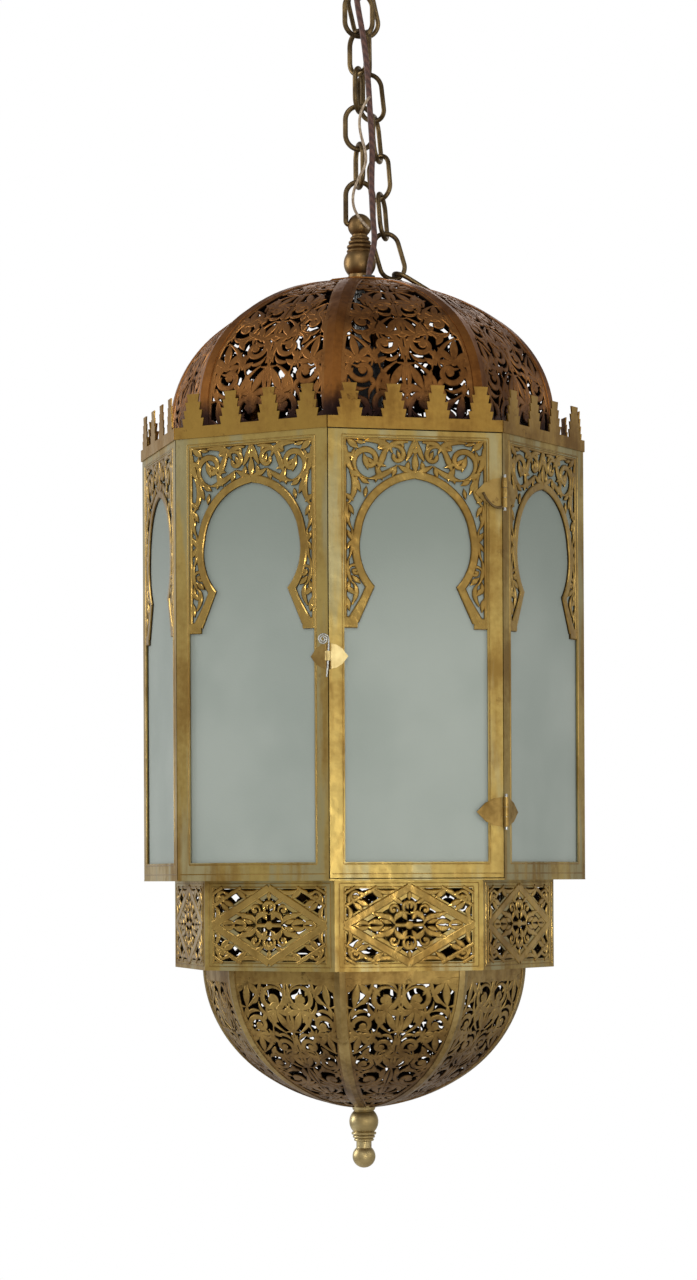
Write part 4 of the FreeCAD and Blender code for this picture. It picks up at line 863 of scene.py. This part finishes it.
# The panes go darker from -0.68 m up to -0.5 m and stay dark above: painted shade from inside the lantern.
pane.feed(Base_Color=pane.mix(level.between(-0.68, -0.5), lit, colour(130, 139, 130)),
          Roughness=0.46 + 0.16 * grain, Normal=pane.bump(grain, 0.25, 0.0004))
bulb = Finish("glass_lamp", IOR=1.45, Transmission_Weight=0.6)
bulb.feed(Base_Color=bulb.mix(bulb.noise(30.0), colour(235, 235, 230), colour(245, 245, 242)),
          Roughness=0.25 + 0.1 * bulb.noise(90.0))
sheath = Finish("sheath_maroon", IOR=1.46, Specular_IOR_Level=0.45)
twist = sheath.add("ShaderNodeTexWave", {"wave_type": "BANDS", "bands_direction": "DIAGONAL"},
                   {"Vector": sheath.place, "Scale": 95.0, "Distortion": 0.6})
sheath.feed(Base_Color=sheath.mix(twist, colour(66, 40, 33), colour(92, 60, 48)),
            Roughness=0.42 + 0.2 * sheath.noise(300.0), Normal=sheath.bump(twist, 0.35, 0.0008))
clear = Finish("sheath_earth", IOR=1.46, Specular_IOR_Level=0.5, Metallic=0.3)
strand = clear.noise(900.0, 2.0, (1, 1, 0.3))
clear.feed(Base_Color=clear.mix(strand.between(0.35, 0.65), colour(120, 100, 80), colour(178, 160, 136)),
           Roughness=0.36 + 0.2 * strand, Normal=clear.bump(strand, 0.4, 0.0006))
black = Finish("bakelite_black", IOR=1.5)
black.feed(Base_Color=black.mix(black.noise(120.0), colour(22, 20, 19), colour(38, 35, 33)),
           Roughness=0.35 + 0.2 * black.noise(60.0))
iron = Finish("steel_zinc", Metallic=1.0)
iron.feed(Base_Color=iron.mix(iron.noise(60.0), colour(150, 150, 146), colour(188, 188, 184)),
          Roughness=0.32 + 0.2 * iron.noise(140.0))
print("glass and sheaths mixed")

# %% [markdown]
# Every piece now gets its finish. A CAD node keeps its shape and only changes its material; a new piece is
# given the finish by its name.

# %% Give out the finishes
FINISHES = [("fret_dome", dome_fret), ("fret_bowl", bowl_fret), ("fret_", fret_brass), ("bead_", fret_brass),
            ("flex_supply", sheath.material), ("flex_earth", clear.material), ("finial_upper", turned_brown),
            ("finial_lower", turned_metal), ("finial_link", chain_metal), ("main_chain", chain_metal),
            ("spare_chain", chain_metal), ("ceiling_plate", iron.material), ("rod_nuts", iron.material),
            ("hanging_rod", iron.material), ("ceiling_", chain_metal), ("canopy", crown_metal),
            ("latch_wire", iron.material), ("hinge_tail", chain_metal), ("latch_door", pale_metal),
            ("latch_", fitting_metal), ("hinge_pins", iron.material), ("hinge_", fitting_metal),
            ("lampholder", black.material), ("cord_grommet", black.material), ("lamp_cap", iron.material),
            ("lamp_glass", bulb.material), ("upper_ribs", dome_metal), ("dome_cap", dome_metal),
            ("upper_gores", dome_metal), ("crown_strips", crown_metal), ("lower_ribs", bowl_metal),
            ("wall_glass", pane.material), ("door_glass", pane.material), ("", frame_brass)]
for thing in list(bpy.context.scene.objects):
    if thing.type not in ("MESH", "CURVE"):
        continue
    chosen = next(finish for start, finish in FINISHES if thing.name.startswith(start))
    if thing.material_slots:
        for place in thing.material_slots:
            place.material = chosen
    else:
        thing.data.materials.append(chosen)

# %% [markdown]
# ## Studio
# Metal shows what stands round it, so the lantern hangs in a plain white room: the world is white to the
# camera, and for reflections it is bright at the horizon and darker above and below, which gives the brass
# its range. Five large soft boxes light it, and a small one stands where a window would catch the collar. The
# floor is far below.

# %% Floor, world and lamps
floor_mesh = bpy.data.meshes.new("floor")
FLOOR_SIDE, FLOOR_LEVEL = 7, -2.1
corners = [(x * FLOOR_SIDE, y * FLOOR_SIDE, FLOOR_LEVEL) for x, y in [(-1, -1), (1, -1), (1, 1), (-1, 1)]]
floor_mesh.from_pydata(corners, [], [(0, 1, 2, 3)])
floor = bpy.data.objects.new("floor", floor_mesh)
bpy.context.scene.collection.objects.link(floor)
floor_finish = Finish("floor_pale", Roughness=0.8)
floor_finish.shader.inputs["Base Color"].default_value = colour(236, 236, 234)
floor_mesh.materials.append(floor_finish.material)

world = bpy.data.worlds.new("room")
bpy.context.scene.world = world
world.use_nodes = True
tree = world.node_tree
tree.nodes.clear()
ray = tree.nodes.new("ShaderNodeLightPath")
way = tree.nodes.new("ShaderNodeTexCoord")
split = tree.nodes.new("ShaderNodeSeparateXYZ")
ramp = tree.nodes.new("ShaderNodeValToRGB")
ramp.color_ramp.elements[0].position, ramp.color_ramp.elements[0].color = 0.0, (0.30, 0.29, 0.28, 1)
ramp.color_ramp.elements[1].position, ramp.color_ramp.elements[1].color = 1.0, (0.42, 0.42, 0.43, 1)
middle = ramp.color_ramp.elements.new(0.5)
middle.color = (0.95, 0.95, 0.95, 1)
halve = tree.nodes.new("ShaderNodeMath")
halve.operation, halve.inputs[1].default_value, halve.inputs[2].default_value = "MULTIPLY_ADD", 0.5, 0.5
seen = tree.nodes.new("ShaderNodeMath")
seen.operation = "MAXIMUM"
room = tree.nodes.new("ShaderNodeBackground")
white = tree.nodes.new("ShaderNodeBackground")
white.inputs["Color"].default_value = (1, 1, 1, 1)
either = tree.nodes.new("ShaderNodeMixShader")
out = tree.nodes.new("ShaderNodeOutputWorld")
for source, target in [(way.outputs["Generated"], split.inputs[0]), (split.outputs["Z"], halve.inputs[0]),
                       (halve.outputs[0], ramp.inputs[0]), (ramp.outputs[0], room.inputs["Color"]),
                       (ray.outputs["Is Camera Ray"], seen.inputs[0]),
                       (ray.outputs["Is Transmission Ray"], seen.inputs[1]),
                       (seen.outputs[0], either.inputs[0]),
                       (room.outputs[0], either.inputs[1]), (white.outputs[0], either.inputs[2]),
                       (either.outputs[0], out.inputs[0])]:
    tree.links.new(source, target)
ROOM_STRENGTH = 0.62
room.inputs["Strength"].default_value = ROOM_STRENGTH


def soft_box(name, azimuth, distance, height, width, tall, power, tint=(1, 1, 1)):
    """A rectangular lamp at that azimuth from the camera's direction, turned to face the lantern's middle."""
    turn = math.radians(azimuth) - VIEW_TURN
    place = np.array([distance * math.sin(turn), -distance * math.cos(turn), height])
    lamp = bpy.data.lights.new(name, "AREA")
    lamp.shape, lamp.size, lamp.size_y, lamp.energy, lamp.color = "RECTANGLE", width, tall, power, tint
    box = bpy.data.objects.new(name, lamp)
    bpy.context.scene.collection.objects.link(box)
    box.location = place
    aim = np.array([0, 0, -0.7]) - place
    flat = math.hypot(aim[0], aim[1])
    box.rotation_euler = (math.atan2(flat, -aim[2]), 0, math.atan2(aim[1], aim[0]) - math.pi / 2)
    return box


soft_box("box_left", -98, 2.6, 0.0, 1.2, 1.8, 34)
soft_box("box_above", -10, 1.9, 1.5, 1.2, 0.5, 16)
soft_box("box_right", 60, 2.8, -0.3, 1.2, 1.6, 14)
soft_box("box_window", 13, 2.46, -0.904, 0.15, 0.26, 13, (1, 0.97, 0.88))
soft_box("box_front", -20, 3.2, 0.5, 1.6, 1.0, 9)
soft_box("box_back", 175, 2.6, 0.6, 1.6, 1.2, 14)
bpy.context.scene.view_settings.view_transform = "Standard"
print("studio lit")
